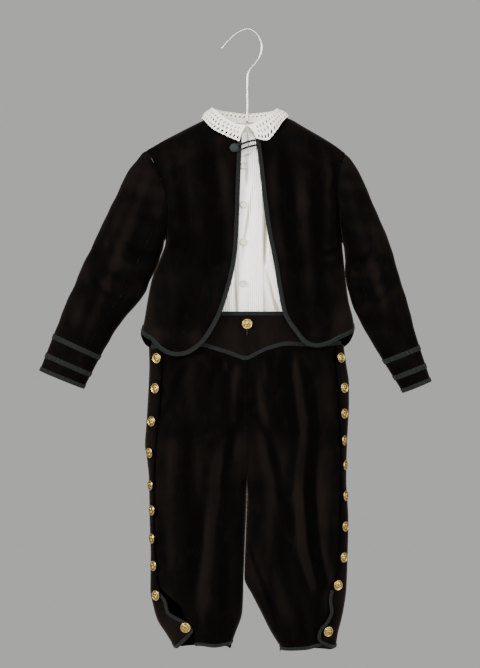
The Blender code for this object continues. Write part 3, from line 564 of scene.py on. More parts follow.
SEAT_CREASES = {
    "right": (
        (((-20, -500), (-48, -580), (-60, -640)), 9, 1.8),
        (((-14, -600), (-50, -660), (-90, -680)), 8, -2.0),
        (((-30, -660), (-66, -700), (-104, -704)), 8, 1.6),
        (((-80, -500), (-92, -600), (-94, -700)), 12, -1.4),
        (((-70, -720), (-76, -800), (-72, -880)), 10, 1.5),
        (((-40, -740), (-44, -820), (-52, -890)), 8, -1.2),
    ),
    "left": (
        (((22, -500), (50, -570), (64, -640)), 9, 1.8),
        (((14, -610), (46, -664), (92, -690)), 8, -2.0),
        (((30, -670), (70, -710), (108, -716)), 8, 1.6),
        (((84, -500), (96, -590), (98, -690)), 12, -1.4),
        (((74, -730), (84, -800), (92, -880)), 10, 1.5),
        (((46, -750), (62, -820), (78, -890)), 8, -1.2),
    ),
}
BLOUSE_CREASES = {
    "right": (
        (((-18, -345), (-17, -390), (-15, -425)), 3, -1.8),
        (((-28, -392), (-22, -425)), 2, 1.2),
        (((-60, -200), (-50, -320)), 12, 1.0),
    ),
    "left": (
        (((0, -155), (1, -164), (2, -176)), 1.0, -2.6),
        (((-2, -194), (-1, -214), (-2, -238)), 3.2, -1.2),
        (((9, -240), (1, -285), (-5, -320), (-7, -348)), 4, -1.7),
        (((29, -268), (28, -300), (26, -350)), 3.2, -3.0),
        (((23.5, -230), (25, -252)), 1.4, -1.8),
        (((-9, -192), (-1, -190), (6, -188)), 1.8, -2.2),
        (((28, -360), (40, -400), (48, -425)), 3, -1.2),
        (((34, -345), (46, -378), (54, -400)), 3, 1.2),
        (((12, -250), (10, -330), (12, -420)), 5, 0.9),
    ),
}

# Soft unevenness of the cloth: height, wavelength, direction and phase of each wave
JACKET_WAVES = ((0.45, 97, 18, 0.4), (0.35, 61, -24, 1.9), (0.22, 37, 8, 0.9))
SLEEVE_WAVES = ((0.45, 73, 66, 0.2), (0.30, 47, 40, 1.1), (0.20, 29, 80, 2.4))
LEG_WAVES = ((0.55, 83, 10, 1.3), (0.40, 59, -17, 0.3), (0.22, 34, 6, 2.0))

# Pin tucks of the blouse, and its collar's cut-work
TUCKS = ((-40.0, 7), (4.0, 7))
TUCK_SPACE = 2.9
TUCKED = 42.0
PLEAT_EDGE = 23.5
# How far cloth stands out, which sets the painted highlight and shade of folds in the finishes
RELIEF = 3.0
RELIEF_REACH = 0.13
RELIEF_DOWN = 0.3
COLLAR_LENGTH = 300.0
COLLAR_WIDTH = 62.0
SCALLOP = 6.0
SCALLOP_DEPTH = 0.8
EYELET_LONG = 2.3
EYELET_SHORT = 1.4
EYELET_SPACE = 6.4
COLLAR_CLOTH = 0.5
EYELET_ROWS = (
    (0.925, 62, 4.0), (0.83, 118, 7.0), (0.735, 62, 10.5), (0.36, 118, 8.0), (0.24, 62, 5.0),
)

# The view and the room, in metres
VIEW_MIDDLE = (-0.0105, -0.456)
VIEW_HEIGHT = 1.002
VIEW_DISTANCE = 3.3
FLOOR = -1.25
FLOOR_RADIUS = 1.7
WALL_GREY = (0.46, 0.46, 0.455)
SENSOR = 24.0
VIEW_END = 50.0
FLOOR_SIDES = 96
LIGHTS = (
    ("key", (-2.4, -1.9, 0.55), (1.2, 1.6), 190.0),
    ("fill", (2.5, -1.5, 0.20), (1.2, 1.8), 100.0),
    ("front", (0.3, -3.4, 0.8), (1.6, 1.2), 120.0),
    ("behind", (0.4, 2.2, 0.9), (2.0, 1.2), 20.0),
)

# Sizes of the finishes' threads, in metres
PILE = 0.0011
COTTON_WEAVE = 0.0007
PAD_WEAVE = 0.0011
HERRINGBONE = 0.0035
BRAID_RIB = 0.0013
WAVE_SCALE = 0.314


# Surfaces


def smoothstep(value):
    t = np.clip(value, 0.0, 1.0)
    return t * t * (3 - 2 * t)


def signed_power(value, exponent):
    return np.sign(value) * np.abs(value) ** exponent


def xyz(x, y, z):
    return np.stack(np.broadcast_arrays(x, y, z), axis=-1)


def unit(vectors):
    return vectors / np.maximum(np.linalg.norm(vectors, axis=-1, keepdims=True), TINY)


def oval(table, turn, z):
    """A point of a flattened ring, for a turn angle in degrees."""
    across = np.sin(np.radians(turn))
    ahead = np.cos(np.radians(turn))
    side = np.where(across > 0, table("left", z), table("right", z))
    depth = np.where(ahead > 0, table("front", z), table("back", z))
    return np.abs(side) * across, -depth * signed_power(ahead, OVAL)


def body_surface(table, drop):
    """The outside of a garment's body, rounded over along the shoulder ridge."""

    def surface(turn, z):
        x, y = oval(table, turn, z)
        below = (RIDGE("z", x) - drop - z) / ROUNDING
        reach = np.minimum(np.abs(below), 1.0)
        return xyz(x, y * np.sign(below) * np.sqrt(1 - (1 - reach) ** 2), z)

    return surface


jacket_surface = body_surface(JACKET, 0.0)
blouse_surface = body_surface(BLOUSE, BLOUSE_DROP)


def hip_surface(turn, z):
    return xyz(*oval(BREECHES, turn, z), z)


def leg_shape(side, z):
    """The middle, signed half width and first angle of a leg's ring."""
    level = np.clip((FORK_TOP - z) / (FORK_TOP - FORK), 0.0, 1.0)
    first = np.arcsin(np.sqrt(1 - level * level) ** (1 / OVAL))
    outer = BREECHES(side, z)
    width = (outer - INSEAM(side, z)) / (1 + np.cos(first))
    return outer - width, width, np.degrees(first)


def fold_height(side, x, z):
    """How far the largest folds stand out at a point of a leg's front."""
    height = 0.0
    for line, width, depth in FOLDS[side]:
        low, high = line.rows[0, 0], line.rows[-1, 0]
        fade = smoothstep((z - low) / FOLD_FADE + 0.5) * smoothstep((high - z) / FOLD_FADE + 0.5)
        height = height + depth * fade * np.exp(-(((x - line("x", z)) / width) ** 2))
    return height


def leg_surface(side, folded=True):
    """The outside of a leg, for an angle of 0 at the inseam, 90 in front and 180 outside."""

    def surface(angle, z):
        middle, width, _ = leg_shape(side, z)
        x = middle - width * np.cos(np.radians(angle))
        ahead = np.sin(np.radians(angle))
        depth = np.where(ahead > 0, BREECHES("front", z), BREECHES("back", z))
        y = -depth * signed_power(ahead, OVAL)
        if folded:
            y = y - np.where(ahead > 0, fold_height(side, x, z) * ahead * ahead, 0.0)
        return xyz(x, y, z)

    return surface


def turn_at(table, x, z):
    """The turn angle of a point seen from the front."""
    on_left = np.asarray(x) > 0
    side = np.where(on_left, table("left", z), table("right", z))
    return np.degrees(np.arcsin(np.minimum(np.abs(x / side), 1.0))) * np.where(on_left, 1, -1)


def places_at(table, x, z):
    """Places, each a turn angle and a height, of points seen from the front."""
    z = np.broadcast_to(z, x.shape)
    return np.stack((turn_at(table, x, z), z), axis=-1)


def angle_at(side, x, z):
    """The angle in front of a leg's ring at a place across it."""
    middle, width, _ = leg_shape(side, z)
    return np.degrees(np.arccos(np.clip((middle - x) / width, -1.0, 1.0)))


# Curves and grids of places on a surface


def spline(a, b, c, d, t):
    """A smooth step from b to c, between the points before and after them."""
    bend = (2 * a - 5 * b + 4 * c - d) * t**2 + (3 * b - a - 3 * c + d) * t**3
    return 0.5 * (2 * b + (c - a) * t + bend)


def through(points, pieces=8):
    """A smooth line through given points."""
    points = [np.array(p, float) for p in points]
    ends = [2 * points[0] - points[1]] + points + [2 * points[-1] - points[-2]]
    steps = list(zip(ends, ends[1:], ends[2:], ends[3:]))
    return np.array([spline(*step, k / pieces) for step in steps for k in range(pieces)] + [points[-1]])


def lengths(line):
    """How far along a line each of its points lies."""
    return np.concatenate(([0], np.cumsum(np.linalg.norm(np.diff(line, axis=0), axis=1))))


def spaced(line, fractions):
    """Places along a line, at fractions of its length."""
    length = lengths(line)
    at = np.asarray(fractions) * length[-1]
    return np.stack([np.interp(at, length, line[:, k]) for k in range(line.shape[1])], axis=-1)


def even(count):
    return np.linspace(0, 1, count)


def joined(*pieces):
    """One line of places from lines that follow each other, each with its count."""
    lines = [spaced(line, even(count)) for line, count in pieces]
    return np.vstack([lines[0]] + [line[1:] for line in lines[1:]])


def patch(start, end, first, last, rows, columns):
    """A grid between four lines: start to end along its columns, first to last along its rows."""
    t = rows[:, None, None]
    s = columns[None, :, None]
    corners = (1 - s) * (1 - t) * start[0] + s * (1 - t) * end[0] + (1 - s) * t * start[-1] + s * t * end[-1]
    across = (1 - s) * start[:, None] + s * end[:, None]
    return across + (1 - t) * first[None] + t * last[None] - corners


def tangents(surface, u, v):
    along_u = (surface(u + SMALL_TURN, v) - surface(u - SMALL_TURN, v)) / (2 * SMALL_TURN)
    along_v = (surface(u, v + SMALL_TURN) - surface(u, v - SMALL_TURN)) / (2 * SMALL_TURN)
    return along_u, along_v


def normal_at(surface, u, v):
    return unit(np.cross(*tangents(surface, u, v)))


def inset(surface, line, width, sign):
    """A line of places moved sideways over the surface by a width."""
    u, v = line.T
    ahead = np.gradient(surface(u, v), axis=0)
    along_u, along_v = tangents(surface, u, v)
    sideways = sign * width * unit(np.cross(np.cross(along_u, along_v), ahead))
    uu = np.sum(along_u * along_u, axis=1)
    uv = np.sum(along_u * along_v, axis=1)
    vv = np.sum(along_v * along_v, axis=1)
    su = np.sum(along_u * sideways, axis=1)
    sv = np.sum(along_v * sideways, axis=1)
    scale = uu * vv - uv * uv
    return line + np.stack(((vv * su - uv * sv) / scale, (uu * sv - uv * su) / scale), axis=-1)


def strip(line, inner, count):
    """A grid of places from one line across to another."""
    share = even(count)[None, :, None]
    return line[:, None] * (1 - share) + inner[:, None] * share


def below_ridge(grid, table, drop):
    """The same grid with no place higher than the shoulder ridge."""
    x, _ = oval(table, grid[..., 0], grid[..., 1])
    return np.stack((grid[..., 0], np.minimum(grid[..., 1], RIDGE("z", x) - drop)), axis=-1)


def on_own_side(laid, thickness, side):
    """Keeps a panel and its wall in front of (-1) or behind (1) the shoulder and side seams."""
    points, normals = laid
    depth = np.maximum(points[..., 1] * side, 0.0)
    points[..., 1] = depth * side + side * SEAM / 2
    normals[..., 1] = np.minimum(normals[..., 1] * side, depth / thickness) * side
    return points, unit(normals)


def raised(laid, height):
    return laid[0] + laid[1] * height[..., None], laid[1]


def lay(surface, grid, sign=1, lift=None):
    """Points and outward normals of a surface over a grid of places."""
    u, v = grid[..., 0], grid[..., 1]
    laid = surface(u, v), sign * normal_at(surface, u, v)
    return raised(laid, lift(u, v)) if lift else laid


def part_of(laid, rows=slice(None), columns=slice(None)):
    return laid[0][rows, columns], laid[1][rows, columns]


# Folds, creases and puckers


def near_line(points, line):
    """Distance from a line seen from the front, and the share of the way along it."""
    x, z = points[..., 0], points[..., 2]
    line = through(line, 5)
    length = lengths(line)
    best = np.full(x.shape, np.inf)
    share = np.zeros(x.shape)
    for k, (a, step) in enumerate(zip(line, np.diff(line, axis=0))):
        t = np.clip(((x - a[0]) * step[0] + (z - a[1]) * step[1]) / (step @ step), 0, 1)
        gap = np.hypot(x - a[0] - t * step[0], z - a[1] - t * step[1])
        closer = gap < best
        best = np.where(closer, gap, best)
        share = np.where(closer, (length[k] + t * (length[k + 1] - length[k])) / length[-1], share)
    return best, share


def creased(laid, creases, guard):
    """Moves cloth out along ridges and in along troughs: a line, a width and a height each."""
    height = np.zeros(guard.shape)
    for line, width, depth in creases:
        gap, share = near_line(laid[0], line)
        fade = np.sin(np.pi * np.clip(CREASE_ENDS + (1 - 2 * CREASE_ENDS) * share, 0, 1)) ** CREASE_POWER
        height += depth * fade * np.exp(-((gap / width) ** 2))
    return raised(laid, height * guard)


def rippled(laid, waves, guard):
    """Long soft unevenness: a height, a wavelength, a direction and a phase for each wave."""
    x, z = laid[0][..., 0], laid[0][..., 2]
    height = np.zeros(guard.shape)
    for depth, wavelength, direction, phase in waves:
        a = math.radians(direction)
        height += depth * np.sin(2 * np.pi * (x * math.cos(a) + z * math.sin(a)) / wavelength + phase)
    return raised(laid, height * guard)


def worked(laid, creases, waves, guard, wave_guard=None, closed=False):
    """Creases and unevenness on a laid panel, and the normals that go with them."""
    laid = creased(laid, creases, guard)
    laid = rippled(laid, waves, guard if wave_guard is None else wave_guard)
    return laid[0], grid_normals(*laid, closed)


def away_from_edges(shape, reach, sides):
    """1 inside a grid, falling to 0 over a share of its size at the top, bottom, left or right."""
    rows = even(shape[0])[:, None]
    columns = even(shape[1])[None, :]
    guard = np.ones(shape)
    for side, share in (("t", rows), ("b", 1 - rows), ("l", columns), ("r", 1 - columns)):
        if side in sides:
            guard = guard * smoothstep(share / reach)
    return guard


def grid_normals(points, like, closed=False):
    """Normals of a grid of points, on the same side as the ones it had."""
    if closed:
        wide = np.concatenate((points[:, -1:], points, points[:, :1]), axis=1)
        across = np.gradient(wide, axis=1)[:, 1:-1]
    else:
        across = np.gradient(points, axis=1)
    normals = unit(np.cross(np.gradient(points, axis=0), across))
    side = np.sign(np.sum(normals * like, axis=-1, keepdims=True))
    return normals * np.where(side == 0, 1, side)


# Meshes


def add_mesh(name, node, vertices, faces, look, sharp=60, uvs=None, relief=FLAT_RELIEF):
    """A smooth piece that rides on the root and stands in for a node of the frame, if one is named."""
    mesh = bpy.data.meshes.new(name)
    mesh.from_pydata((np.asarray(vertices) * MM).tolist(), [], faces)
    if uvs is not None:
        layer = mesh.uv_layers.new(name="cut")
        loops = np.zeros(len(mesh.loops), dtype=np.int32)
        mesh.loops.foreach_get("vertex_index", loops)
        layer.data.foreach_set("uv", (np.asarray(uvs) * MM)[loops].ravel())
    layer = mesh.attributes.new("relief", "FLOAT", "POINT")
    layer.data.foreach_set("value", np.zeros(len(vertices)) + relief)
    mesh.validate()
    work = bmesh.new()
    work.from_mesh(mesh)
    bmesh.ops.recalc_face_normals(work, faces=work.faces)
    work.to_mesh(mesh)
    work.free()
    mesh.shade_smooth()
    mesh.set_sharp_from_angle(angle=math.radians(sharp))
    mesh.materials.append(LOOK[look])
    made = bpy.data.objects.new(name, mesh)
    bpy.context.scene.collection.objects.link(made)
    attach(made, "root")
    if node:
        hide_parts(node)
    return made


def grid_faces(rows, columns, closed, start=0, flip=False):
    spans = columns if closed else columns - 1
    i, j = np.meshgrid(np.arange(rows - 1), np.arange(spans), indexing="ij")
    a = start + i * columns + j
    b = start + i * columns + (j + 1) % columns
    quads = np.stack((a, b, b + columns, a + columns), axis=-1).reshape(-1, 4)
    return (quads[:, ::-1] if flip else quads).tolist()


def edge_faces(rows, columns, closed, under):
    """The rim between the two sides of a wall."""
    rim = []
    for j in range(columns if closed else columns - 1):
        rim.append((j, (j + 1) % columns))
        rim.append(((rows - 1) * columns + (j + 1) % columns, (rows - 1) * columns + j))
    if not closed:
        for i in range(rows - 1):
            rim.append(((i + 1) * columns, i * columns))
            rim.append((i * columns + columns - 1, (i + 1) * columns + columns - 1))
    return [(b, a, under + a, under + b) for a, b in rim]


def cut_places(points):
    """Distances along and across a grid of cloth, for its weave."""
    across = np.linalg.norm(np.diff(points, axis=1), axis=2).mean(axis=0)
    down = np.linalg.norm(np.diff(points, axis=0), axis=2).mean(axis=1)
    u = np.concatenate(([0], np.cumsum(across)))
    v = np.concatenate(([0], np.cumsum(down)))
    return np.stack(np.meshgrid(u, v), axis=-1).reshape(-1, 2)


def stand_out(points, normals):
    """How far cloth stands out from the cloth around it: 0 in a trough, 1 on a ridge."""
    height = np.zeros(points.shape[:2])
    for axis, weight in ((0, RELIEF_DOWN), (1, 1.0)):
        span = max(2, int(points.shape[axis] * RELIEF_REACH))
        room = [(span, span) if k == axis else (0, 0) for k in range(3)]
        wide = np.pad(points, room, mode="reflect", reflect_type="odd")
        share = np.hanning(2 * span + 3)[1:-1]
        level = np.apply_along_axis(np.convolve, axis, wide, share / share.sum(), "valid")
        height += weight * ((points - level) * normals).sum(axis=2)
    return np.clip(FLAT_RELIEF + height / RELIEF, 0, 1)


def sheet(name, node, laid, low, high, look, closed=False):
    """A closed wall over a grid of points, from a low to a high offset along its normals."""
    points, normals = laid
    rows, columns = points.shape[:2]
    high = np.broadcast_to(high, points.shape[:2])[..., None]
    vertices = np.concatenate([(points + normals * side).reshape(-1, 3) for side in (high, low)])
    faces = grid_faces(rows, columns, closed)
    faces += grid_faces(rows, columns, closed, rows * columns, True)
    faces += edge_faces(rows, columns, closed, rows * columns)
    places = np.tile(cut_places(points), (2, 1))
    # The relief attribute sets the painted fold highlight and shade of the velvet and cotton finishes
    relief = np.tile(stand_out(points, normals).ravel(), 2)
    return add_mesh(name, node, vertices, faces, look, uvs=places, relief=relief)


def ribbon(name, node, laid, closed=False, length_first=True):
    """Flat braid on a panel, with a raised cord along each edge."""
    shape = laid[0].shape[:2]
    across = np.abs(2 * even(shape[1] if length_first else shape[0]) - 1)
    cord = BRAID_CORD * np.exp(-(((across - BRAID_CORD_PLACE) / BRAID_CORD_WIDTH) ** 2))
    profile = BRAID * (1 - BRAID_CORD + cord - BRAID_EDGE * (across > BRAID_EDGE_PLACE))
    high = np.zeros(shape) + (profile[None, :] if length_first else profile[:, None])
    return sheet(name, node, laid, LIE, LIE + high, "braid", closed)


def cloth(name, node, laid, kind, look, braids=(), closed=False):
    """A panel of cloth, and the braids that lie on it."""
    wall = COTTON if look == "cotton" else VELVET
    made = sheet(name, node, laid, -wall, 0.0, look, closed)
    bound = [ribbon(*braid) for braid in braids]


def tube(name, node, route, radius, sides, look):
    """A round rod along a route, with blunt ends."""
    route = np.asarray(route, float)
    ahead = unit(np.gradient(route, axis=0))
    radii = np.broadcast_to(np.asarray(radius, float), (len(route),))
    vertices = []
    for point, along, r in zip(route, ahead, radii):
        side = unit(np.cross(along, (0, 1, 0) if abs(along[1]) < 0.9 else (1, 0, 0)))
        other = np.cross(side, along)
        for k in range(sides):
            angle = 2 * math.pi * k / sides
            vertices.append(point + r * (side * math.cos(angle) + other * math.sin(angle)))
    vertices += [route[0] - ahead[0] * radii[0] * TIP, route[-1] + ahead[-1] * radii[-1] * TIP]
    faces = grid_faces(len(route), sides, True)
    base = (len(route) - 1) * sides
    for k in range(sides):
        faces.append((len(vertices) - 2, (k + 1) % sides, k))
        faces.append((len(vertices) - 1, base + k, base + (k + 1) % sides))
    return add_mesh(name, node, vertices, faces, look, sharp=75)


def round_piece(name, node, place, normal, radii, height, back, look, spokes=48):
    """A turned or pressed piece: a face given as a height, and plain rings behind it."""
    out = unit(np.array(normal, float))
    across = unit(np.cross((0, 0, 1), out))
    up = np.cross(out, across)
    rings = [[(r, height(r, 2 * math.pi * k / spokes)) for k in range(spokes)] for r in radii[1:]]
    plain = [height(0.0, 0.0)] + [sum(h for _, h in ring) / spokes for ring in rings]
    level = np.polyval(np.polyfit(radii, plain, 2), radii)
    raised = [plain[0] - level[0]] + [h - low for low, ring in zip(level[1:], rings) for _, h in ring]
    rings += [[(r, h)] * spokes for r, h in back]
    vertices = [place + out * height(0.0, 0.0)]
    for ring in rings:
        for k, (r, h) in enumerate(ring):
            a = 2 * math.pi * k / spokes
            vertices.append(place + (across * math.cos(a) + up * math.sin(a)) * r + out * h)
    vertices.append(place + out * back[-1][1])
    last = 1 + (len(rings) - 1) * spokes
    faces = [(0, 1 + k, 1 + (k + 1) % spokes) for k in range(spokes)]
    faces += grid_faces(len(rings), spokes, True, 1)
    faces += [(len(vertices) - 1, last + (k + 1) % spokes, last + k) for k in range(spokes)]
    raised += [0.0] * (len(vertices) - len(raised))
    relief = FLAT_RELIEF + np.array(raised) / PATTERN_DEPTH
    return add_mesh(name, node, vertices, faces, look, sharp=50, relief=relief)


# Materials


class Finish:
    """A node material that is built up in short steps."""

    def __init__(self, name, color, roughness, metallic=0.0):
        self.material = bpy.data.materials.new(name)
        self.material.use_nodes = True
        self.tree = self.material.node_tree
        self.shader = self.tree.nodes["Principled BSDF"].inputs
        self.place = self.node("ShaderNodeTexCoord").outputs["Object"]
        self.normal = None
        self.set("Base Color", color)
        self.set("Roughness", roughness)
        self.set("Metallic", metallic)

    def node(self, kind, **values):
        made = self.tree.nodes.new(kind)
        for key, value in values.items():
            setattr(made, key, value)
        return made

    def feed(self, socket, value):
        """Gives a socket a number, a colour or another node's output."""
        if isinstance(value, (int, float)):
            socket.default_value = value
        elif isinstance(value, tuple):
            socket.default_value = (*value, 1.0)
        else:
            self.tree.links.new(value, socket)

    def set(self, socket, value):
        self.feed(self.shader[socket], value)

    def noise(self, size, detail=3.0, stretch=(1, 1, 1), distortion=0.0):
        """Noise whose lumps are about a size in metres."""
        mapping = self.node("ShaderNodeMapping")
        mapping.inputs["Scale"].default_value = stretch
        self.feed(mapping.inputs["Vector"], self.place)
        made = self.node("ShaderNodeTexNoise")
        made.inputs["Scale"].default_value = 1.0 / size
        made.inputs["Detail"].default_value = detail
        made.inputs["Distortion"].default_value = distortion
        self.feed(made.inputs["Vector"], mapping.outputs["Vector"])
        return made.outputs["Fac"]

    def wave(self, size, direction):
        made = self.node("ShaderNodeTexWave", bands_direction=direction)
        made.inputs["Scale"].default_value = WAVE_SCALE / size
        self.feed(made.inputs["Vector"], self.place)
        return made.outputs["Fac"]

    def relief(self):
        return self.node("ShaderNodeAttribute", attribute_name="relief").outputs["Fac"]

    def ramp(self, factor, *stops):
        made = self.node("ShaderNodeValToRGB")
        bar = made.color_ramp
        while len(bar.elements) < len(stops):
            bar.elements.new(0.5)
        for element, (at, color) in zip(bar.elements, stops):
            element.position = at
            element.color = (*(color if isinstance(color, tuple) else (color,) * 3), 1.0)
        self.feed(made.inputs["Fac"], factor)
        return made.outputs["Color"]

    def mix(self, factor, a, b, blend="MIX"):
        made = self.node("ShaderNodeMix", data_type="RGBA", blend_type=blend)
        for socket, value in ((0, factor), (6, a), (7, b)):
            self.feed(made.inputs[socket], value)
        return made.outputs[2]

    def math(self, operation, *values):
        made = self.node("ShaderNodeMath", operation=operation)
        for socket, value in zip(made.inputs, values):
            self.feed(socket, value)
        return made.outputs[0]

    def roughness(self, factor, low, high):
        span = self.node("ShaderNodeMapRange")
        for socket, value in (("Value", factor), ("To Min", low), ("To Max", high)):
            self.feed(span.inputs[socket], value)
        self.set("Roughness", span.outputs["Result"])

    def bump(self, factor, depth, strength=1.0):
        made = self.node("ShaderNodeBump")
        for socket, value in (("Height", factor), ("Distance", depth), ("Strength", strength)):
            self.feed(made.inputs[socket], value)
        if self.normal:
            self.feed(made.inputs["Normal"], self.normal)
        self.normal = made.outputs["Normal"]
        self.set("Normal", self.normal)

    def sheen(self, weight, roughness, tint):
        self.set("Sheen Weight", weight)
        self.set("Sheen Roughness", roughness)
        self.set("Sheen Tint", tint)


def velvet_finish():
    """Near-black brushed pile, rubbed brown in random patches, with a painted brown highlight where it
    stands out in folds and painted shade in their troughs.
    """
    made = Finish("velvet", (0.002, 0.0014, 0.0012), 0.9)
    brushed = made.noise(0.05, 5.0, (1, 1, 0.3), 0.8)
    worn = made.noise(0.016, 5.0, (1, 1, 0.6), 0.4)
    # Painted highlight and shade: the folds' relief, varied by the brushed nap, runs from near black in the
    # troughs to brown on the ridges
    stands = made.math("MULTIPLY", made.relief(), made.math("ADD", brushed, 0.35))
    trough, flat, ridge = (0.0005, 0.0004, 0.0003), (0.0015, 0.0012, 0.0010), (0.0050, 0.0036, 0.0027)
    deep = made.ramp(stands, (0.32, trough), (0.58, flat), (0.95, ridge))
    rubbed = made.ramp(worn, (0.50, 0.0), (0.80, (0.0013, 0.0007, 0.0004)))
    made.set("Base Color", made.mix(1.0, deep, rubbed, "ADD"))
    made.roughness(brushed, 0.82, 0.98)
    made.bump(brushed, 0.0024, 0.4)
    made.bump(worn, 0.0008, 0.4)
    made.bump(made.noise(PILE, 2.0), 0.0004, 0.5)
    made.sheen(0.16, 0.30, (0.60, 0.44, 0.33))
    made.set("Specular IOR Level", 0.02)
    return made.material


def braid_finish(name, color, light):
    """Flat worsted braid in a herringbone, with a dull shine."""
    made = Finish(name, color, 0.62)
    split = made.node("ShaderNodeSeparateXYZ")
    made.feed(split.inputs["Vector"], made.node("ShaderNodeUVMap", uv_map="cut").outputs["UV"])
    mirrored = made.math("PINGPONG", split.outputs["X"], HERRINGBONE)
    along = made.math("ADD", split.outputs["Y"], mirrored)
    ribs = made.math("SINE", made.math("MULTIPLY", along, 2 * math.pi / BRAID_RIB), 0.0)
    strands = made.math("MULTIPLY_ADD", ribs, 0.5, 0.5)
    patchy = made.noise(0.02)
    made.set("Base Color", made.mix(strands, color, made.mix(patchy, color, light)))
    made.roughness(patchy, 0.55, 0.72)
    made.bump(strands, 0.0005, 0.8)
    made.sheen(0.03, 0.5, (0.5, 0.5, 0.48))
    made.set("Specular IOR Level", 0.12)
    return made.material


def cotton_finish(name, color, shade, weave=COTTON_WEAVE):
    """Plain-woven cotton, a little yellowed, with painted olive shade in its hollows."""
    made = Finish(name, color, 0.85)
    aged = made.noise(0.06, 4.0)
    # Painted shade: olive in the hollows of tucks and creases, set by the relief attribute
    painted_hollow_shade = made.ramp(made.relief(), (0.20, 1.0), (0.46, 0.0))
    cloth_color = made.mix(made.ramp(aged, (0.42, 0.0), (0.75, 1.0)), color, shade)
    made.set("Base Color", made.mix(painted_hollow_shade, cloth_color, (0.42, 0.39, 0.29)))
    made.bump(made.math("ADD", made.wave(weave, "X"), made.wave(weave, "Z")), 0.00025, 0.35)
    made.roughness(aged, 0.8, 0.92)
    made.sheen(0.15, 0.5, (1.0, 0.98, 0.93))
    made.set("Specular IOR Level", 0.25)
    return made.material


def pearl_finish():
    made = Finish("pearl", (0.78, 0.74, 0.66), 0.28)
    bands = made.noise(0.004, 3.0, (1, 1, 3), 1.2)
    dark, pale, dull = (0.40, 0.35, 0.24), (0.62, 0.58, 0.46), (0.50, 0.47, 0.38)
    made.set("Base Color", made.ramp(bands, (0.35, dark), (0.5, pale), (0.7, dull)))
    made.roughness(bands, 0.22, 0.38)
    made.set("Coat Weight", 0.35)
    made.set("Coat Roughness", 0.12)
    return made.material


def gilt_finish():
    """Gilt brass, tarnished in patches and dark in the hollows of its pattern."""
    made = Finish("gilt", (0.80, 0.55, 0.22), 0.28, 1.0)
    tarnish = made.noise(0.0035, 4.0)
    dark, worn, bright = (0.20, 0.13, 0.035), (0.46, 0.33, 0.10), (0.66, 0.50, 0.18)
    tone = made.ramp(tarnish, (0.30, dark), (0.52, worn), (0.75, bright))
    clean = made.ramp(made.relief(), (0.36, 0.0), (0.62, 1.0))
    made.set("Base Color", made.mix(clean, (0.10, 0.06, 0.018), tone))
    made.roughness(tarnish, 0.40, 0.24)
    made.bump(made.noise(0.0009, 2.0), 0.00008, 0.5)
    return made.material


def steel_finish():
    made = Finish("steel_wire", (0.70, 0.70, 0.69), 0.25, 1.0)
    drawn = made.noise(0.02, 2.0, (1, 1, 0.2))
    made.set("Base Color", made.ramp(drawn, (0.3, (0.42, 0.42, 0.43)), (0.7, (0.48, 0.48, 0.49))))
    made.roughness(drawn, 0.34, 0.40)
    return made.material


def floor_finish():
    made = Finish("floor", (0.62, 0.62, 0.61), 0.8)
    made.set("Base Color", made.ramp(made.noise(0.4), (0.3, (0.60, 0.60, 0.59)), (0.7, (0.64, 0.64, 0.63))))
    return made.material


LOOK = {
    "velvet": velvet_finish(),
    "braid": braid_finish("braid", (0.0034, 0.0044, 0.0038), (0.0098, 0.0118, 0.0104)),
    "covered_button": braid_finish("covered_button", (0.011, 0.015, 0.015), (0.024, 0.031, 0.031)),
    "cotton": cotton_finish("cotton", (0.90, 0.89, 0.84), (0.84, 0.81, 0.72)),
    "cut_work": cotton_finish("cut_work", (0.88, 0.84, 0.73), (0.82, 0.76, 0.62)),
    "pearl": pearl_finish(),
    "gilt": gilt_finish(),
    "steel_wire": steel_finish(),
    "padding_cover": cotton_finish("padding_cover", (0.74, 0.73, 0.70), (0.66, 0.63, 0.57), PAD_WEAVE),
}


# Jacket


def armhole_line(side):
    """The armhole on the front of the jacket, from the shoulder to the underarm."""
    line = through(ARMHOLE[side])
    places = places_at(JACKET, *line.T)
    places[0, 1] = RIDGE("z", line[0, 0])
    places[-1] = (SIGN[side] * 90.0, UNDERARM[side])
    return places


def shoulder_line(side, neck, tip, table, drop):
    x = np.linspace(neck, tip, SHOULDER_COLUMNS) * SIGN[side]
    return places_at(table, x, RIDGE("z", x) - drop)


def jacket_front(side):
    sign = SIGN[side]
    rows = even(FRONT_ROWS)
    columns = 1 - (1 - even(FRONT_COLUMNS)) ** CROWD
    drawn = places_at(JACKET, *through(FRONT_EDGE[side]).T)
    bend = (sign * HEM_BEND[0], SIDE_HEM[side] + HEM_BEND[1])
    edge = spaced(np.vstack((drawn, bend, (sign * 90.0, SIDE_HEM[side]))), rows)
    inner = inset(jacket_surface, edge, BINDING, sign)
    inner[-1] = (sign * 90.0, SIDE_HEM[side] + BINDING)
    shoulder = shoulder_line(side, JACKET_NECK, abs(ARMHOLE[side][0][0]), JACKET, 0.0)
    outer = spaced(np.vstack((shoulder[:-1], armhole_line(side))), rows)
    neck = through((inner[0], (sign * NECK_BEND[0], NECK_BEND[1]), shoulder[0]))
    seam = np.array((inner[-1], (sign * 90.0, UNDERARM[side])))
    grid = patch(inner, outer, spaced(neck, columns), spaced(seam, columns), rows, columns)
    band = strip(edge, inner, BAND)
    grid = below_ridge(np.concatenate((band[:, :-1], grid), axis=1), JACKET, 0.0)
    laid = on_own_side(lay(jacket_surface, grid), VELVET, -1)
    guard = away_from_edges(grid.shape[:2], EDGE_FADE, "tbr")
    laid = on_own_side(worked(laid, JACKET_CREASES[side], JACKET_WAVES, guard), VELVET, -1)
    bound = f"bound_front_{side}", f"front_binding_{side}", part_of(laid, columns=slice(0, BAND))
    cloth(f"velvet_front_{side}", f"jacket_front_{side}", laid, "front", "velvet", [bound])


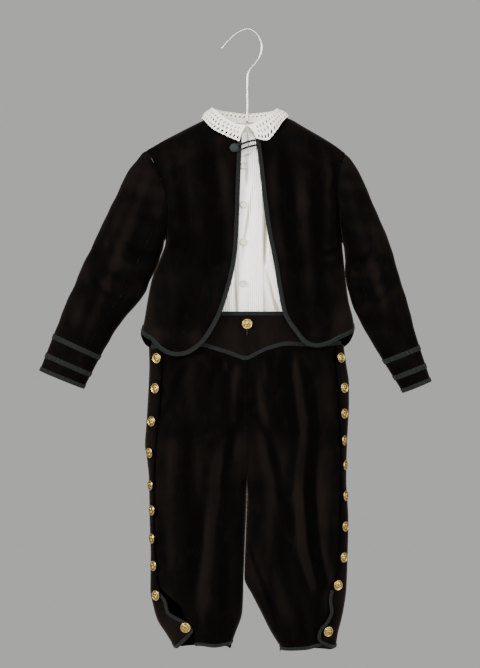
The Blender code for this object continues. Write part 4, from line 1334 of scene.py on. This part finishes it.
def jacket_back():
    sides = []
    shoulders = []
    for side in ("left", "right"):
        corner = SIGN[side] * 90.0
        armhole = armhole_line(side)
        armhole[:, 0] = 2 * corner - armhole[:, 0]
        sides.append(np.vstack((armhole, (corner, SIDE_HEM[side] + BINDING))))
        line = shoulder_line(side, JACKET_NECK, abs(ARMHOLE[side][0][0]), JACKET, 0.0)
        line[:, 0] = 180.0 - line[:, 0]
        shoulders.append(line)
    sides[1][:, 0] += 360.0
    share = even(DROP_PLACES)
    drop = shoulders[0][0] + (shoulders[1][0] - shoulders[0][0]) * share[:, None]
    drop[:, 1] -= BACK_NECK_DROP * np.sin(np.pi * share)
    tip, neck = JACKET_BACK_COLUMNS
    top = joined((shoulders[0][::-1], tip), (drop, neck), (shoulders[1], tip))
    rows = even(BACK_ROWS) ** CROWD
    columns = even(len(top))
    turn = 90 + 180 * columns
    hem = np.stack((turn, BACK_HEM("z", turn)), axis=-1)
    above = hem + np.array((0.0, BINDING))
    grid = patch(top, above, spaced(sides[0], rows), spaced(sides[1], rows), columns, rows)
    grid = np.concatenate((grid, strip(above, hem, BAND)[:, 1:]), axis=1)
    grid = below_ridge(np.swapaxes(grid, 0, 1), JACKET, 0.0)
    laid = on_own_side(lay(jacket_surface, grid), VELVET, 1)
    guard = away_from_edges(grid.shape[:2], EDGE_FADE, "tlr")
    laid = on_own_side(worked(laid, BACK_CREASES, JACKET_WAVES, guard), VELVET, 1)
    bound = "bound_back", "back_binding", part_of(laid, slice(-BAND, None)), False, False
    cloth("velvet_back", "jacket_back", laid, "back", "velvet", [bound])


def sleeve_points(side, angles, rings):
    """Points of a sleeve, for angles of 0 outside, 90 in front and 180 inside."""
    table = SLEEVE[side]
    outward = SIGN[side]
    angle = np.mod(angles, 360.0)
    half = np.where(angle <= 180, angle, 360 - angle) / 180
    place = spaced(armhole_line(side), half)
    turn = np.where(angle > 180, 180.0 * outward - place[..., 0], place[..., 0])
    armhole = jacket_surface(turn, place[..., 1])
    armhole[..., 0] += outward * ARMHOLE_SEAM
    armhole[..., 2] += ARMHOLE_RISE * smoothstep(half)
    a = np.radians(angle)
    at = np.maximum(rings, 1.0)
    outer = xyz(table("outer_x", at), 0.0, table("outer_z", at))
    inner = xyz(table("inner_x", at), 0.0, table("inner_z", at))
    ring = (outer + inner) / 2 + (outer - inner) / 2 * np.cos(a)[..., None]
    ring[..., 0] += table("lean", at) * np.sin(a) ** 2
    ring[..., 1] = -table("depth", at) * signed_power(np.sin(a), SLEEVE_OVAL)
    share = np.clip(rings, 0, 1)[..., None]
    return armhole * (1 - share) + ring * share


def smoothed(points, times):
    """Evens out a grid of points along its columns, its first and last rows held."""
    for _ in range(times):
        points[1:-1] = (points[:-2] + 2 * points[1:-1] + points[2:]) / 4
    return points


def sleeve(side):
    first, second = CUFF_RINGS[side]
    length = CUFF_LENGTH[side]
    edges = (0, first, first + CUFF_BRAID / length, second, second + CUFF_BRAID / length,
             LAST_RING - CUFF_BINDING / length, LAST_RING)
    counts = (SLEEVE_ROWS, BAND, CUFF_ROWS[0], BAND, CUFF_ROWS[1], BAND)
    pieces = [np.linspace(a, b, count) for a, b, count in zip(edges, edges[1:], counts)]
    rings = np.concatenate([pieces[0]] + [piece[1:] for piece in pieces[1:]])
    starts = np.cumsum([0] + [count - 1 for count in counts])
    around = np.concatenate((
        np.linspace(SLEEVE_GAP - SLEEVE_SEAM, SLEEVE_SEAM - SLEEVE_GAP, TOP_COLUMNS),
        np.linspace(SLEEVE_SEAM + SLEEVE_GAP, 360 - SLEEVE_SEAM - SLEEVE_GAP, UNDER_COLUMNS),
    ))
    angles, at = np.meshgrid(around, rings)
    drawn = sleeve_points(side, angles, at)
    points = drawn.copy()
    points[:SLEEVE_ROWS] = smoothed(points[:SLEEVE_ROWS], SLEEVE_SMOOTHING)
    laid = points, grid_normals(points, points - drawn.mean(axis=1, keepdims=True), True)
    guard = smoothstep(at / SLEEVE_FADES[0]) * smoothstep((first - at) / SLEEVE_FADES[1])
    laid = worked(laid, SLEEVE_CREASES[side], SLEEVE_WAVES, guard, closed=True)
    for name, columns in (("top", slice(0, TOP_COLUMNS)), ("under", slice(TOP_COLUMNS, None))):
        part = part_of(laid, columns=columns)
        cloth(f"velvet_sleeve_{side}_{name}", f"sleeve_{side}_{name}", part, name, "velvet")
    nodes = f"cuff_braid_{side}_upper", f"cuff_braid_{side}_lower", f"cuff_binding_{side}"
    for name, node, k in zip(("upper", "lower", "edge"), nodes, (1, 3, 5)):
        part = part_of(laid, slice(starts[k], starts[k + 1] + 1))
        ribbon(f"cuff_{side}_{name}", node, part, True, False)


def covered_height(r, a):
    """A domed button with threads that run round over it."""
    share = r / COVERED_RADIUS
    thread = COVERED_THREAD * math.cos(COVERED_TURNS * a + COVERED_TWIST * r) * math.sin(math.pi * share)
    return COVERED_TOP - COVERED_FALL * share**3 + thread


def jacket_closure():
    """The covered button on the wearer's right front and the cord loop that holds it."""
    x, z = COVERED_BUTTON
    turn = turn_at(JACKET, x, z)
    normal = normal_at(jacket_surface, turn, z)
    place = jacket_surface(turn, z) + np.array((0, -SEAM / 2, 0)) + normal * LIE
    radii = np.linspace(0, COVERED_RADIUS, COVERED_RINGS)
    round_piece("covered_button", "jacket_button", place, normal, radii, covered_height,
                COVERED_BACK, "covered_button")
    route = through(LOOP_ROUTE, 6)
    points = jacket_surface(turn_at(JACKET, route[:, 0], route[:, 1]), route[:, 1])
    points[:, 1] -= SEAM / 2 + LIE + BRAID + LIE + LOOP_RADIUS
    tube("cord_loop", "jacket_loop", points, LOOP_RADIUS, LOOP_SIDES, "braid")


# Breeches


def waistband():
    front = angle_at("left", BREECHES("left", LEG_TOP) * LEG_REACH, LEG_TOP) - 90
    half = np.concatenate([np.linspace(*ends, WAIST_COLUMNS) for ends in ((0, front), (90, 180))])
    turns = np.concatenate((-half[::-1], half[1:-1]))
    x = hip_surface(turns, WAIST_LEVEL)[:, 0]
    low = np.where(np.abs(turns) <= 90, WAIST_SEAM_LINE("z", x), WAIST_BACK)
    top = np.full(len(turns), WAIST_TOP)
    levels = top, top - WAIST_BRAID, low + WAIST_BRAID, low
    heights = top[None]
    for upper, lower, count in zip(levels, levels[1:], (BAND, WAIST_ROWS, BAND)):
        share = even(count)[1:, None]
        heights = np.vstack((heights, upper * (1 - share) + lower * share))
    laid = lay(hip_surface, np.stack((np.broadcast_to(turns, heights.shape), heights), axis=-1))
    braids = []
    for name, rows in (("top", slice(0, BAND)), ("low", slice(-BAND, None))):
        braids.append((f"bound_waist_{name}", f"waist_braid_{name}", part_of(laid, rows), True, False))
    cloth("velvet_waistband", "waistband", laid, "waistband", "velvet", braids, True)


def leg_rows():
    low = HEM + HEM_BRAID
    return np.concatenate((np.linspace(LEG_TOP, low, LEG_ROWS), np.linspace(low, HEM, BAND)[1:]))


def leg_grid(side, surface, angles, z):
    """Places over a leg, whose top follows the waist seam and whose foot follows the hem."""
    x = surface(angles, z)[..., 0]
    in_front = angles <= 180
    top = np.where(in_front, WAIST_SEAM_LINE("z", x), WAIST_BACK)
    rise = (top - WAIST_SEAM - LEG_TOP) * (1 - smoothstep((LEG_TOP - z) / TOP_FADE))
    behind = -BACK_LOWER * smoothstep((angles - 180) / BACK_FADE)
    low = np.where(in_front, HEM_LINE[side]("z", x) - HEM, behind)
    fall = low * smoothstep(1 - (z - HEM) / HEM_FADE)
    return np.stack((angles, z + rise + fall), axis=-1)


def leg_front(side):
    surface = leg_surface(side)
    rows = leg_rows()
    edge = np.where(rows < TAB_START, FRONT_EDGE_LEG(side, rows), BREECHES(side, rows) * LEG_REACH)
    first = leg_shape(side, rows)[2][:, None]
    angles = first + (angle_at(side, edge, rows)[:, None] - first) * even(LEG_FRONT_COLUMNS)[None, :]
    z = np.broadcast_to(rows[:, None], angles.shape)
    laid = lay(surface, leg_grid(side, surface, angles, z), SIGN[side])
    laid[0][..., 1] -= SEAM / 2
    guard = away_from_edges(angles.shape, LEG_EDGE_FADE, "tlr")
    laid = worked(laid, LEG_CREASES[side], LEG_WAVES, guard)
    laid[0][:, 0, 1] += SEAM_SINK * smoothstep((rows - FORK_TOP) / SEAM_SINK_FADE)
    laid = laid[0], grid_normals(*laid)
    bound = f"bound_hem_{side}", f"hem_braid_{side}", part_of(laid, slice(-BAND, None)), False, False
    cloth(f"velvet_leg_front_{side}", f"leg_front_{side}", laid, "leg_front", "velvet",
          [bound])


def lap_lift(angle, z):
    return LAP * (1 - smoothstep((angle - LAP_ENDS) / LAP_FADE))


def leg_back(side):
    """The back of a leg laps over the front down the side and ends in the knee tab."""
    sign = SIGN[side]
    surface = leg_surface(side, folded=False)
    rows = leg_rows()
    start = angle_at(side, LAP_EDGE(side, rows), rows)[:, None]
    end = 360 - leg_shape(side, rows)[2][:, None]
    lap = start + (180 - start) * even(LAP_COLUMNS)[None, :]
    behind = 180 + (end - 180) * even(LEG_BACK_COLUMNS)[None, 1:]
    angles = np.concatenate((lap, behind), axis=1)
    grid = leg_grid(side, surface, angles, np.broadcast_to(rows[:, None], angles.shape))
    laid = lay(surface, grid, sign, lap_lift)
    laid[0][:, -1, 1] += SEAM
    guard = away_from_edges(angles.shape, LEG_EDGE_FADE, "tlr")
    wave_guard = guard * smoothstep((angles - SEAT_START) / BACK_FADE)
    laid = worked(laid, SEAT_CREASES[side], LEG_WAVES, guard, wave_guard)
    first = int(np.argmin(np.abs(rows - TAB_TOP)))
    outline = np.vstack((grid[first:, 0], grid[-1, 1:]))
    band = strip(outline, inset(surface, outline, HEM_BRAID, -sign), BAND)
    bound = f"bound_tab_{side}", f"tab_braid_{side}", lay(surface, band, sign, lap_lift)
    cloth(f"velvet_leg_back_{side}", f"leg_back_{side}", laid, "leg_back", "velvet",
          [bound])


def raised_ring(r, height, middle, width):
    return height * math.exp(-(((r - middle) / width) ** 2))


def gilt_height(r, a):
    """A domed button with a corded rim, a ring and a rosette with veins between its petals."""
    petal = math.cos(GILT_PETAL_COUNT * a)
    height = GILT_TOP - GILT_FALL * (r / GILT_RADIUS) ** 2
    height += raised_ring(r, *GILT_RIM) * (1 + GILT_CORD * math.cos(GILT_CORD_COUNT * a))
    height += raised_ring(r, *GILT_RING)
    height += max(petal, 0.0) ** GILT_PETAL_POWER * raised_ring(r, *GILT_PETALS)
    height += max(-petal, 0.0) ** GILT_VEIN_POWER * raised_ring(r, *GILT_VEINS)
    return height + raised_ring(r, *GILT_EYE)


def gilt_button(number, place, normal):
    place = place + unit(np.array(normal, float)) * LIE
    radii = np.linspace(0, GILT_RADIUS, GILT_RINGS)
    round_piece(f"gilt_{number:02d}", f"gilt_button_{number:02d}", place, normal, radii, gilt_height,
                GILT_BACK, "gilt", GILT_SPOKES)


def gilt_buttons():
    number = 1
    for side in ("right", "left"):
        surface = leg_surface(side, folded=False)
        for x, z in GILT_PLACES[side]:
            turned = angle_at(side, x * (GILT_INSET if z > TAB_TOP else TAB_INSET), z)
            normal = SIGN[side] * normal_at(surface, np.minimum(turned, GILT_FACING + GILT_LEAN), z)
            place = surface(np.minimum(turned, GILT_FACING), z) + normal * LAP
            gilt_button(number, place, normal)
            number += 1
    gilt_button(number, hip_surface(*WAIST_BUTTON), (0, -1, 0))


def buttonhole():
    """The worked buttonhole that shows below the waist button."""
    line = np.linspace(*BUTTONHOLE, STITCH_PLACES)
    place = hip_surface(np.full(STITCH_PLACES, WAIST_BUTTON[0]), line)
    place[:, 1] -= LIE + STITCH_RADIUS
    tube("buttonhole", None, place, STITCH_RADIUS, THREAD_SIDES, "braid")


# Blouse


def blouse_neckline(x, behind):
    """The neck seam of the blouse, as places on its surface."""
    end = RIDGE("z", np.copysign(BLOUSE_NECK, x)) - BLOUSE_DROP
    depth = np.where(behind, BACK_NECK_DEPTH, FRONT_NECK_DEPTH)
    z = end - depth * np.sqrt(np.maximum(1 - (x / BLOUSE_NECK) ** 2, 0.0))
    turn = turn_at(BLOUSE, x, z)
    return np.where(behind, 180.0 - turn, turn), z


def blouse_sides(side):
    sign = SIGN[side]
    tip = abs(ARMHOLE[side][0][0]) - TIP_INSET
    shoulder = shoulder_line(side, BLOUSE_NECK, tip, BLOUSE, BLOUSE_DROP)
    drawn = [(x * NARROWER - sign * ARMHOLE_IN, z - ARMHOLE_DOWN) for x, z in ARMHOLE[side][1:-1]]
    armhole = places_at(BLOUSE, *through(drawn).T)
    corner = (sign * 90.0, UNDERARM[side] - UNDERARM_DOWN)
    return shoulder, np.vstack((shoulder[-1:], armhole, corner, (sign * 90.0, BLOUSE_HEM)))


def tuck_height(x):
    """Narrow pin tucks down each side of the blouse's buttons, and the edge of its pleat."""
    height = -PLEAT_STEP * smoothstep((x - PLEAT_EDGE) / PLEAT_STEP)
    for start, count in TUCKS:
        for k in range(count):
            height = height + TUCK_HEIGHT * np.exp(-(((x - start - k * TUCK_SPACE) / TUCK_WIDTH) ** 2))
    return height


def under_lap(turn, z):
    """How far the right front dips under the left one."""
    return -BLOUSE_LAP * smoothstep((blouse_surface(turn, z)[..., 0] - DIP_START) / DIP_FADE)


def blouse_front(side):
    sign = SIGN[side]
    shoulder, outer = blouse_sides(side)
    edge_x = BLOUSE_EDGE[side]
    rows = even(BLOUSE_ROWS) ** CROWD
    fine_x = edge_x + (sign * TUCKED - edge_x) * even(NECK_COLUMNS)
    plain_x = np.linspace(sign * TUCKED, sign * BLOUSE_NECK, PLAIN_COLUMNS)[1:]
    neck = np.stack(blouse_neckline(np.concatenate((fine_x, plain_x)), False), axis=-1)
    top = np.vstack((neck, spaced(shoulder, even(SHOULDER_COLUMNS))[1:]))
    z = np.linspace(neck[0][1], BLOUSE_HEM, CENTRE_PLACES)
    centre = places_at(BLOUSE, np.full(CENTRE_PLACES, edge_x), z)
    rest = even(len(top) - NECK_COLUMNS + 1)[1:]
    columns = np.concatenate((np.zeros(NECK_COLUMNS), rest))
    fine = places_at(BLOUSE, fine_x, BLOUSE_HEM)
    plain = fine[-1] + (np.array((sign * 90.0, BLOUSE_HEM)) - fine[-1]) * rest[:, None]
    grid = patch(top, np.vstack((fine, plain)), spaced(centre, rows), spaced(outer, rows), columns, rows)
    grid = below_ridge(np.swapaxes(grid, 0, 1), BLOUSE, BLOUSE_DROP)
    laid = lay(blouse_surface, grid, 1, under_lap if side == "right" else None)
    laid = on_own_side(laid, COTTON, -1)
    x, z = laid[0][..., 0], laid[0][..., 2]
    shown = smoothstep((TUCK_TOP - z) / TUCK_FADE) * smoothstep((z - BLOUSE_HEM) / TUCK_END)
    guard = away_from_edges(grid.shape[:2], EDGE_FADE, "tr")
    laid = worked(raised(laid, tuck_height(x) * shown), BLOUSE_CREASES[side], (), guard)
    laid = on_own_side(laid, COTTON, -1)
    cloth(f"cotton_front_{side}", f"blouse_front_{side}", laid, "blouse_front", "cotton")


def blouse_back():
    rows = even(BACK_ROWS) ** CROWD
    lines = [line for side in ("left", "right") for line in blouse_sides(side)]
    for line in lines:
        line[:, 0] = 180.0 - line[:, 0]
    shoulder_left, outer_left, shoulder_right, outer_right = lines
    neck_x = np.linspace(BLOUSE_NECK, -BLOUSE_NECK, NECK_PLACES)
    neck = np.stack(blouse_neckline(neck_x, True), axis=-1)
    tip, middle = BLOUSE_BACK_COLUMNS
    top = joined((shoulder_left[::-1], tip), (neck, middle), (shoulder_right, tip))
    columns = even(len(top))
    hem = np.stack((90 + 180 * columns, np.full(len(columns), BLOUSE_HEM)), axis=-1)
    grid = patch(top, hem, spaced(outer_left, rows), spaced(outer_right, rows), columns, rows)
    grid = below_ridge(np.swapaxes(grid, 0, 1), BLOUSE, BLOUSE_DROP)
    laid = on_own_side(lay(blouse_surface, grid), COTTON, 1)
    cloth("cotton_back", "blouse_back", laid, "blouse_back", "cotton")


def collar_surface(places, across):
    """Points of the turned-down collar, from 0 at the neck seam over the fold to 1 at its edge."""
    behind = (places > 4) & (places < 10)
    x = COLLAR("edge_x", places)
    z = np.minimum(COLLAR("edge_z", places), RIDGE("z", x) - COLLAR_BELOW_RIDGE)
    turn = turn_at(JACKET, x, z)
    turn = np.where(behind, 180.0 - turn, turn)
    edge = jacket_surface(turn, z) + normal_at(jacket_surface, turn, z) * (COTTON + COLLAR_LIE)
    base = blouse_surface(*blouse_neckline(COLLAR("base", places), behind))
    base = base + np.array((0, 0, COLLAR_STAND))
    fold = np.stack([COLLAR(f"fold_{k}", places) for k in "xyz"], axis=-1)
    out = unit((edge - base) * np.array((1, 1, 0)))
    inner = fold - out * FOLD_HALF
    outer = fold + out * FOLD_HALF
    top = fold + np.array((0, 0, FOLD_HALF * FOLD_TOP))
    middle = (outer + edge) / 2 + out * COLLAR_ROLL + np.array((0, 0, COLLAR_ROLL))
    control = np.stack((base, (base + inner) / 2, inner, top, outer, middle, edge), axis=0)
    last = len(control) - 1
    at = np.clip(across, 0, 1) * last
    k = np.clip(at.astype(int), 0, last - 1)
    pick = np.arange(len(places))
    around = np.maximum(k - 1, 0), k, k + 1, np.minimum(k + 2, last)
    return spline(*(control[step, pick] for step in around), (at - k)[..., None])


def eyelets():
    """The collar's eyelets: place along it, distance across and tilt."""
    holes = []
    for row, (across, tilt, start) in enumerate(EYELET_ROWS):
        for k in range(int((COLLAR_LENGTH - 2 * start) / EYELET_SPACE) + 1):
            along = start + k * EYELET_SPACE + EYELET_UNEVEN * math.sin(EYELET_PHASE * k + row)
            holes.append((along, across * COLLAR_WIDTH, math.radians(tilt)))
    return holes


def collar_edge(along):
    """How far across the collar its scalloped edge lies."""
    return COLLAR_WIDTH - SCALLOP_DEPTH * (1 - abs(math.sin(math.pi * along / SCALLOP)))


def in_eyelet(x, y, hole):
    c, s = math.cos(hole[2]), math.sin(hole[2])
    dx, dy = x - hole[0], y - hole[1]
    return ((dx * c + dy * s) / EYELET_LONG) ** 2 + ((dy * c - dx * s) / EYELET_SHORT) ** 2 < 1


def collar_pattern(holes):
    """The flat collar as triangles with the eyelets left out, and how high each point is raised."""
    points = []
    lift = []
    edges = []

    def ring(line, height, linked=True):
        first = len(points)
        points.extend(line)
        lift.extend([height] * len(line))
        if linked:
            edges.extend((first + k, first + (k + 1) % len(line)) for k in range(len(line)))

    steps = int(COLLAR_LENGTH / COLLAR_STEP)
    low = [(COLLAR_LENGTH * k / steps, 0.0) for k in range(steps + 1)]
    high = [(x, collar_edge(x)) for x, _ in low[::-1]]
    shares = [k / COLLAR_END_STEPS for k in range(1, COLLAR_END_STEPS)]
    rise = [(COLLAR_LENGTH, collar_edge(COLLAR_LENGTH) * share) for share in shares]
    fall = [(0.0, collar_edge(0.0) * (1 - share)) for share in shares]
    ring(low + rise + high + fall, 0.0)
    for x, y, tilt in holes:
        c, s = math.cos(tilt), math.sin(tilt)
        for size, height in EYELET_RINGS:
            line = []
            for k in range(EYELET_SPOKES):
                a = 2 * math.pi * k / EYELET_SPOKES
                p, q = EYELET_LONG * size * math.cos(a), EYELET_SHORT * size * math.sin(a)
                line.append((x + p * c - q * s, y + p * s + q * c))
            ring(line, height, linked=size == 1.0)
    for i in range(int(COLLAR_LENGTH / COLLAR_CELL)):
        for j in range(int(COLLAR_WIDTH / COLLAR_CELL)):
            x, y = COLLAR_START[0] + COLLAR_CELL * i, COLLAR_START[1] + COLLAR_CELL * j
            clear = all(math.hypot(x - a, y - b) > EYELET_LONG * EYELET_CLEAR for a, b, _ in holes)
            if clear and y < COLLAR_WIDTH - COLLAR_MARGIN:
                ring([(x, y)], 0.0, linked=False)
    verts, _, tris, origin, _, _ = delaunay_2d_cdt([Vector(p) for p in points], edges, [], 0, CLOSE)
    kept = []
    for tri in tris:
        x = sum(verts[k][0] for k in tri) / 3
        y = sum(verts[k][1] for k in tri) / 3
        if y <= collar_edge(x) and not any(in_eyelet(x, y, hole) for hole in holes):
            kept.append(tuple(tri))
    flat = np.array([tuple(v) for v in verts])
    height = np.array([max((lift[k] for k in group), default=0.0) for group in origin])
    return flat, height, kept


def collar():
    """A cut-work collar: holes worked with a raised edge in a cloth that turns down over itself."""
    flat, height, kept = collar_pattern(eyelets())
    places = flat[:, 0] / COLLAR_LENGTH * LAST_PLACE
    across = flat[:, 1] / COLLAR_WIDTH
    step = 0.01
    surface = collar_surface(places, across)
    along = collar_surface(places + step, across) - collar_surface(places - step, across)
    over = collar_surface(places, across + step) - collar_surface(places, across - step)
    normals = unit(np.cross(over, along))
    edge_share = smoothstep((across - COLLAR_WAVE_START) / (1 - COLLAR_WAVE_START))
    wave = COLLAR_WAVE * np.sin(places * COLLAR_WAVES) * edge_share
    outside = surface + normals * (height + wave)[:, None]
    inside = surface - normals * (COLLAR_CLOTH - wave)[:, None]
    count = len(flat)
    rim = {pair: None for a, b, c in kept for pair in ((a, b), (b, c), (c, a))}
    walls = [(q, p, count + p, count + q) for p, q in rim if (q, p) not in rim]
    faces = kept + [tuple(count + k for k in tri[::-1]) for tri in kept] + walls
    used = sorted({k for face in faces for k in face})
    number = {k: i for i, k in enumerate(used)}
    faces = [tuple(number[k] for k in face) for face in faces]
    vertices = np.concatenate((outside, inside))[used]
    made = add_mesh("cotton_collar", "blouse_collar", vertices, faces, "cut_work", sharp=70)


def pearl_height(r, a):
    """A pearl button: a rounded rim, a shallow dish and four thread holes."""
    x, y = abs(r * math.cos(a)) - PEARL_HOLE, abs(r * math.sin(a)) - PEARL_HOLE
    hole = math.exp(-((x * x + y * y) / PEARL_HOLE_SIZE) ** 2)
    round_over = PEARL_ROUND * smoothstep((r - PEARL_ROUND_START) / PEARL_ROUND_WIDTH)
    return float(PEARL_TOP + raised_ring(r, *PEARL_RIM) - round_over - PEARL_HOLE_DEPTH * hole)


def pearl_buttons():
    for number, (x, z) in enumerate(PEARL_PLACES, 1):
        turn = turn_at(BLOUSE, x, z)
        normal = normal_at(blouse_surface, turn, z)
        place = blouse_surface(turn, z) + normal * PEARL_LIE
        radii = np.linspace(0, PEARL_RADIUS, PEARL_RINGS)
        round_piece(f"pearl_{number}", f"blouse_button_{number}", place, normal, radii, pearl_height,
                    PEARL_BACK, "pearl", PEARL_SPOKES)
        for k, dx in enumerate((-PEARL_HOLE, PEARL_HOLE), 1):
            line = []
            for t in even(THREAD_PLACES):
                out = THREAD_OUT + THREAD_RISE * math.sin(math.pi * t)
                line.append(place + np.array((dx, -out, PEARL_HOLE * (2 * t - 1))))
            tube(f"pearl_{number}_thread_{k}", None, line, THREAD_RADIUS, THREAD_SIDES, "cotton")


# Hanger


def hanger():
    route = through(WIRE_ROUTE)
    tube("hook", "hanger_hook", xyz(route[:, 0], 0.0, route[:, 1]), WIRE_RADIUS, WIRE_SIDES, "steel_wire")
    x = np.linspace(-BAR_REACH, BAR_REACH, BAR_PLACES)
    slope = (RIDGE("z", x + SLOPE_STEP) - RIDGE("z", x - SLOPE_STEP)) / (2 * SLOPE_STEP)
    under = BLOUSE_DROP + (COTTON + BAR_LIE + BAR_RADIUS) * np.hypot(1, slope)
    level = np.minimum(RIDGE("z", x), BAR_TOP) - under
    width = 2 * BAR_SMOOTHING + 1
    level = np.convolve(np.pad(level, BAR_SMOOTHING, mode="edge"), np.ones(width) / width, "valid")
    end = np.clip((np.abs(x) - (BAR_REACH - BAR_RADIUS)) / BAR_RADIUS, 0, BAR_END)
    gathers = sum(height * np.sin(x * turns + start) for height, turns, start in BAR_GATHERS)
    radii = (BAR_RADIUS - BAR_SOFTER + gathers) * np.sqrt(1 - end * end)
    bar = tube("padded_bar", "hanger_bar", xyz(x, 0.0, level), radii, BAR_SIDES, "padding_cover")


# Stage


def area_light(name, place, aim, size, power):
    light = bpy.data.lights.new(name, "AREA")
    light.shape = "RECTANGLE"
    light.size, light.size_y = size
    light.energy = power
    made = bpy.data.objects.new(name, light)
    made.visible_camera = False
    made.location = place
    made.rotation_euler = (Vector(aim) - Vector(place)).to_track_quat("-Z", "Y").to_euler()
    bpy.context.scene.collection.objects.link(made)


def stage():
    bpy.ops.mesh.primitive_circle_add(
        vertices=FLOOR_SIDES, radius=FLOOR_RADIUS, fill_type="NGON", location=(0, 0, FLOOR)
    )
    floor = bpy.context.object
    floor.name = "floor"
    floor.data.materials.append(floor_finish())
    world = bpy.data.worlds.new("studio")
    world.use_nodes = True
    background = world.node_tree.nodes["Background"]
    background.inputs["Color"].default_value = (*WALL_GREY, 1.0)
    background.inputs["Strength"].default_value = 1.0
    bpy.context.scene.world = world
    for name, place, size, power in LIGHTS:
        area_light(name, place, (VIEW_MIDDLE[0], 0.0, VIEW_MIDDLE[1]), size, power)


def camera():
    lens = bpy.data.cameras.new("camera")
    made = bpy.data.objects.new("camera", lens)
    made.location = (VIEW_MIDDLE[0], -VIEW_DISTANCE, VIEW_MIDDLE[1])
    made.rotation_euler = (math.radians(90), 0.0, 0.0)
    lens.sensor_fit = "VERTICAL"
    lens.sensor_height = SENSOR
    lens.lens = SENSOR * VIEW_DISTANCE / VIEW_HEIGHT
    lens.clip_end = VIEW_END
    bpy.context.scene.collection.objects.link(made)
    bpy.context.scene.camera = made


def main():
    for side in ("right", "left"):
        jacket_front(side)
        sleeve(side)
        leg_front(side)
        leg_back(side)
        blouse_front(side)
    jacket_back()
    jacket_closure()
    waistband()
    gilt_buttons()
    buttonhole()
    blouse_back()
    collar()
    pearl_buttons()
    hanger()
    stage()
    camera()


main()
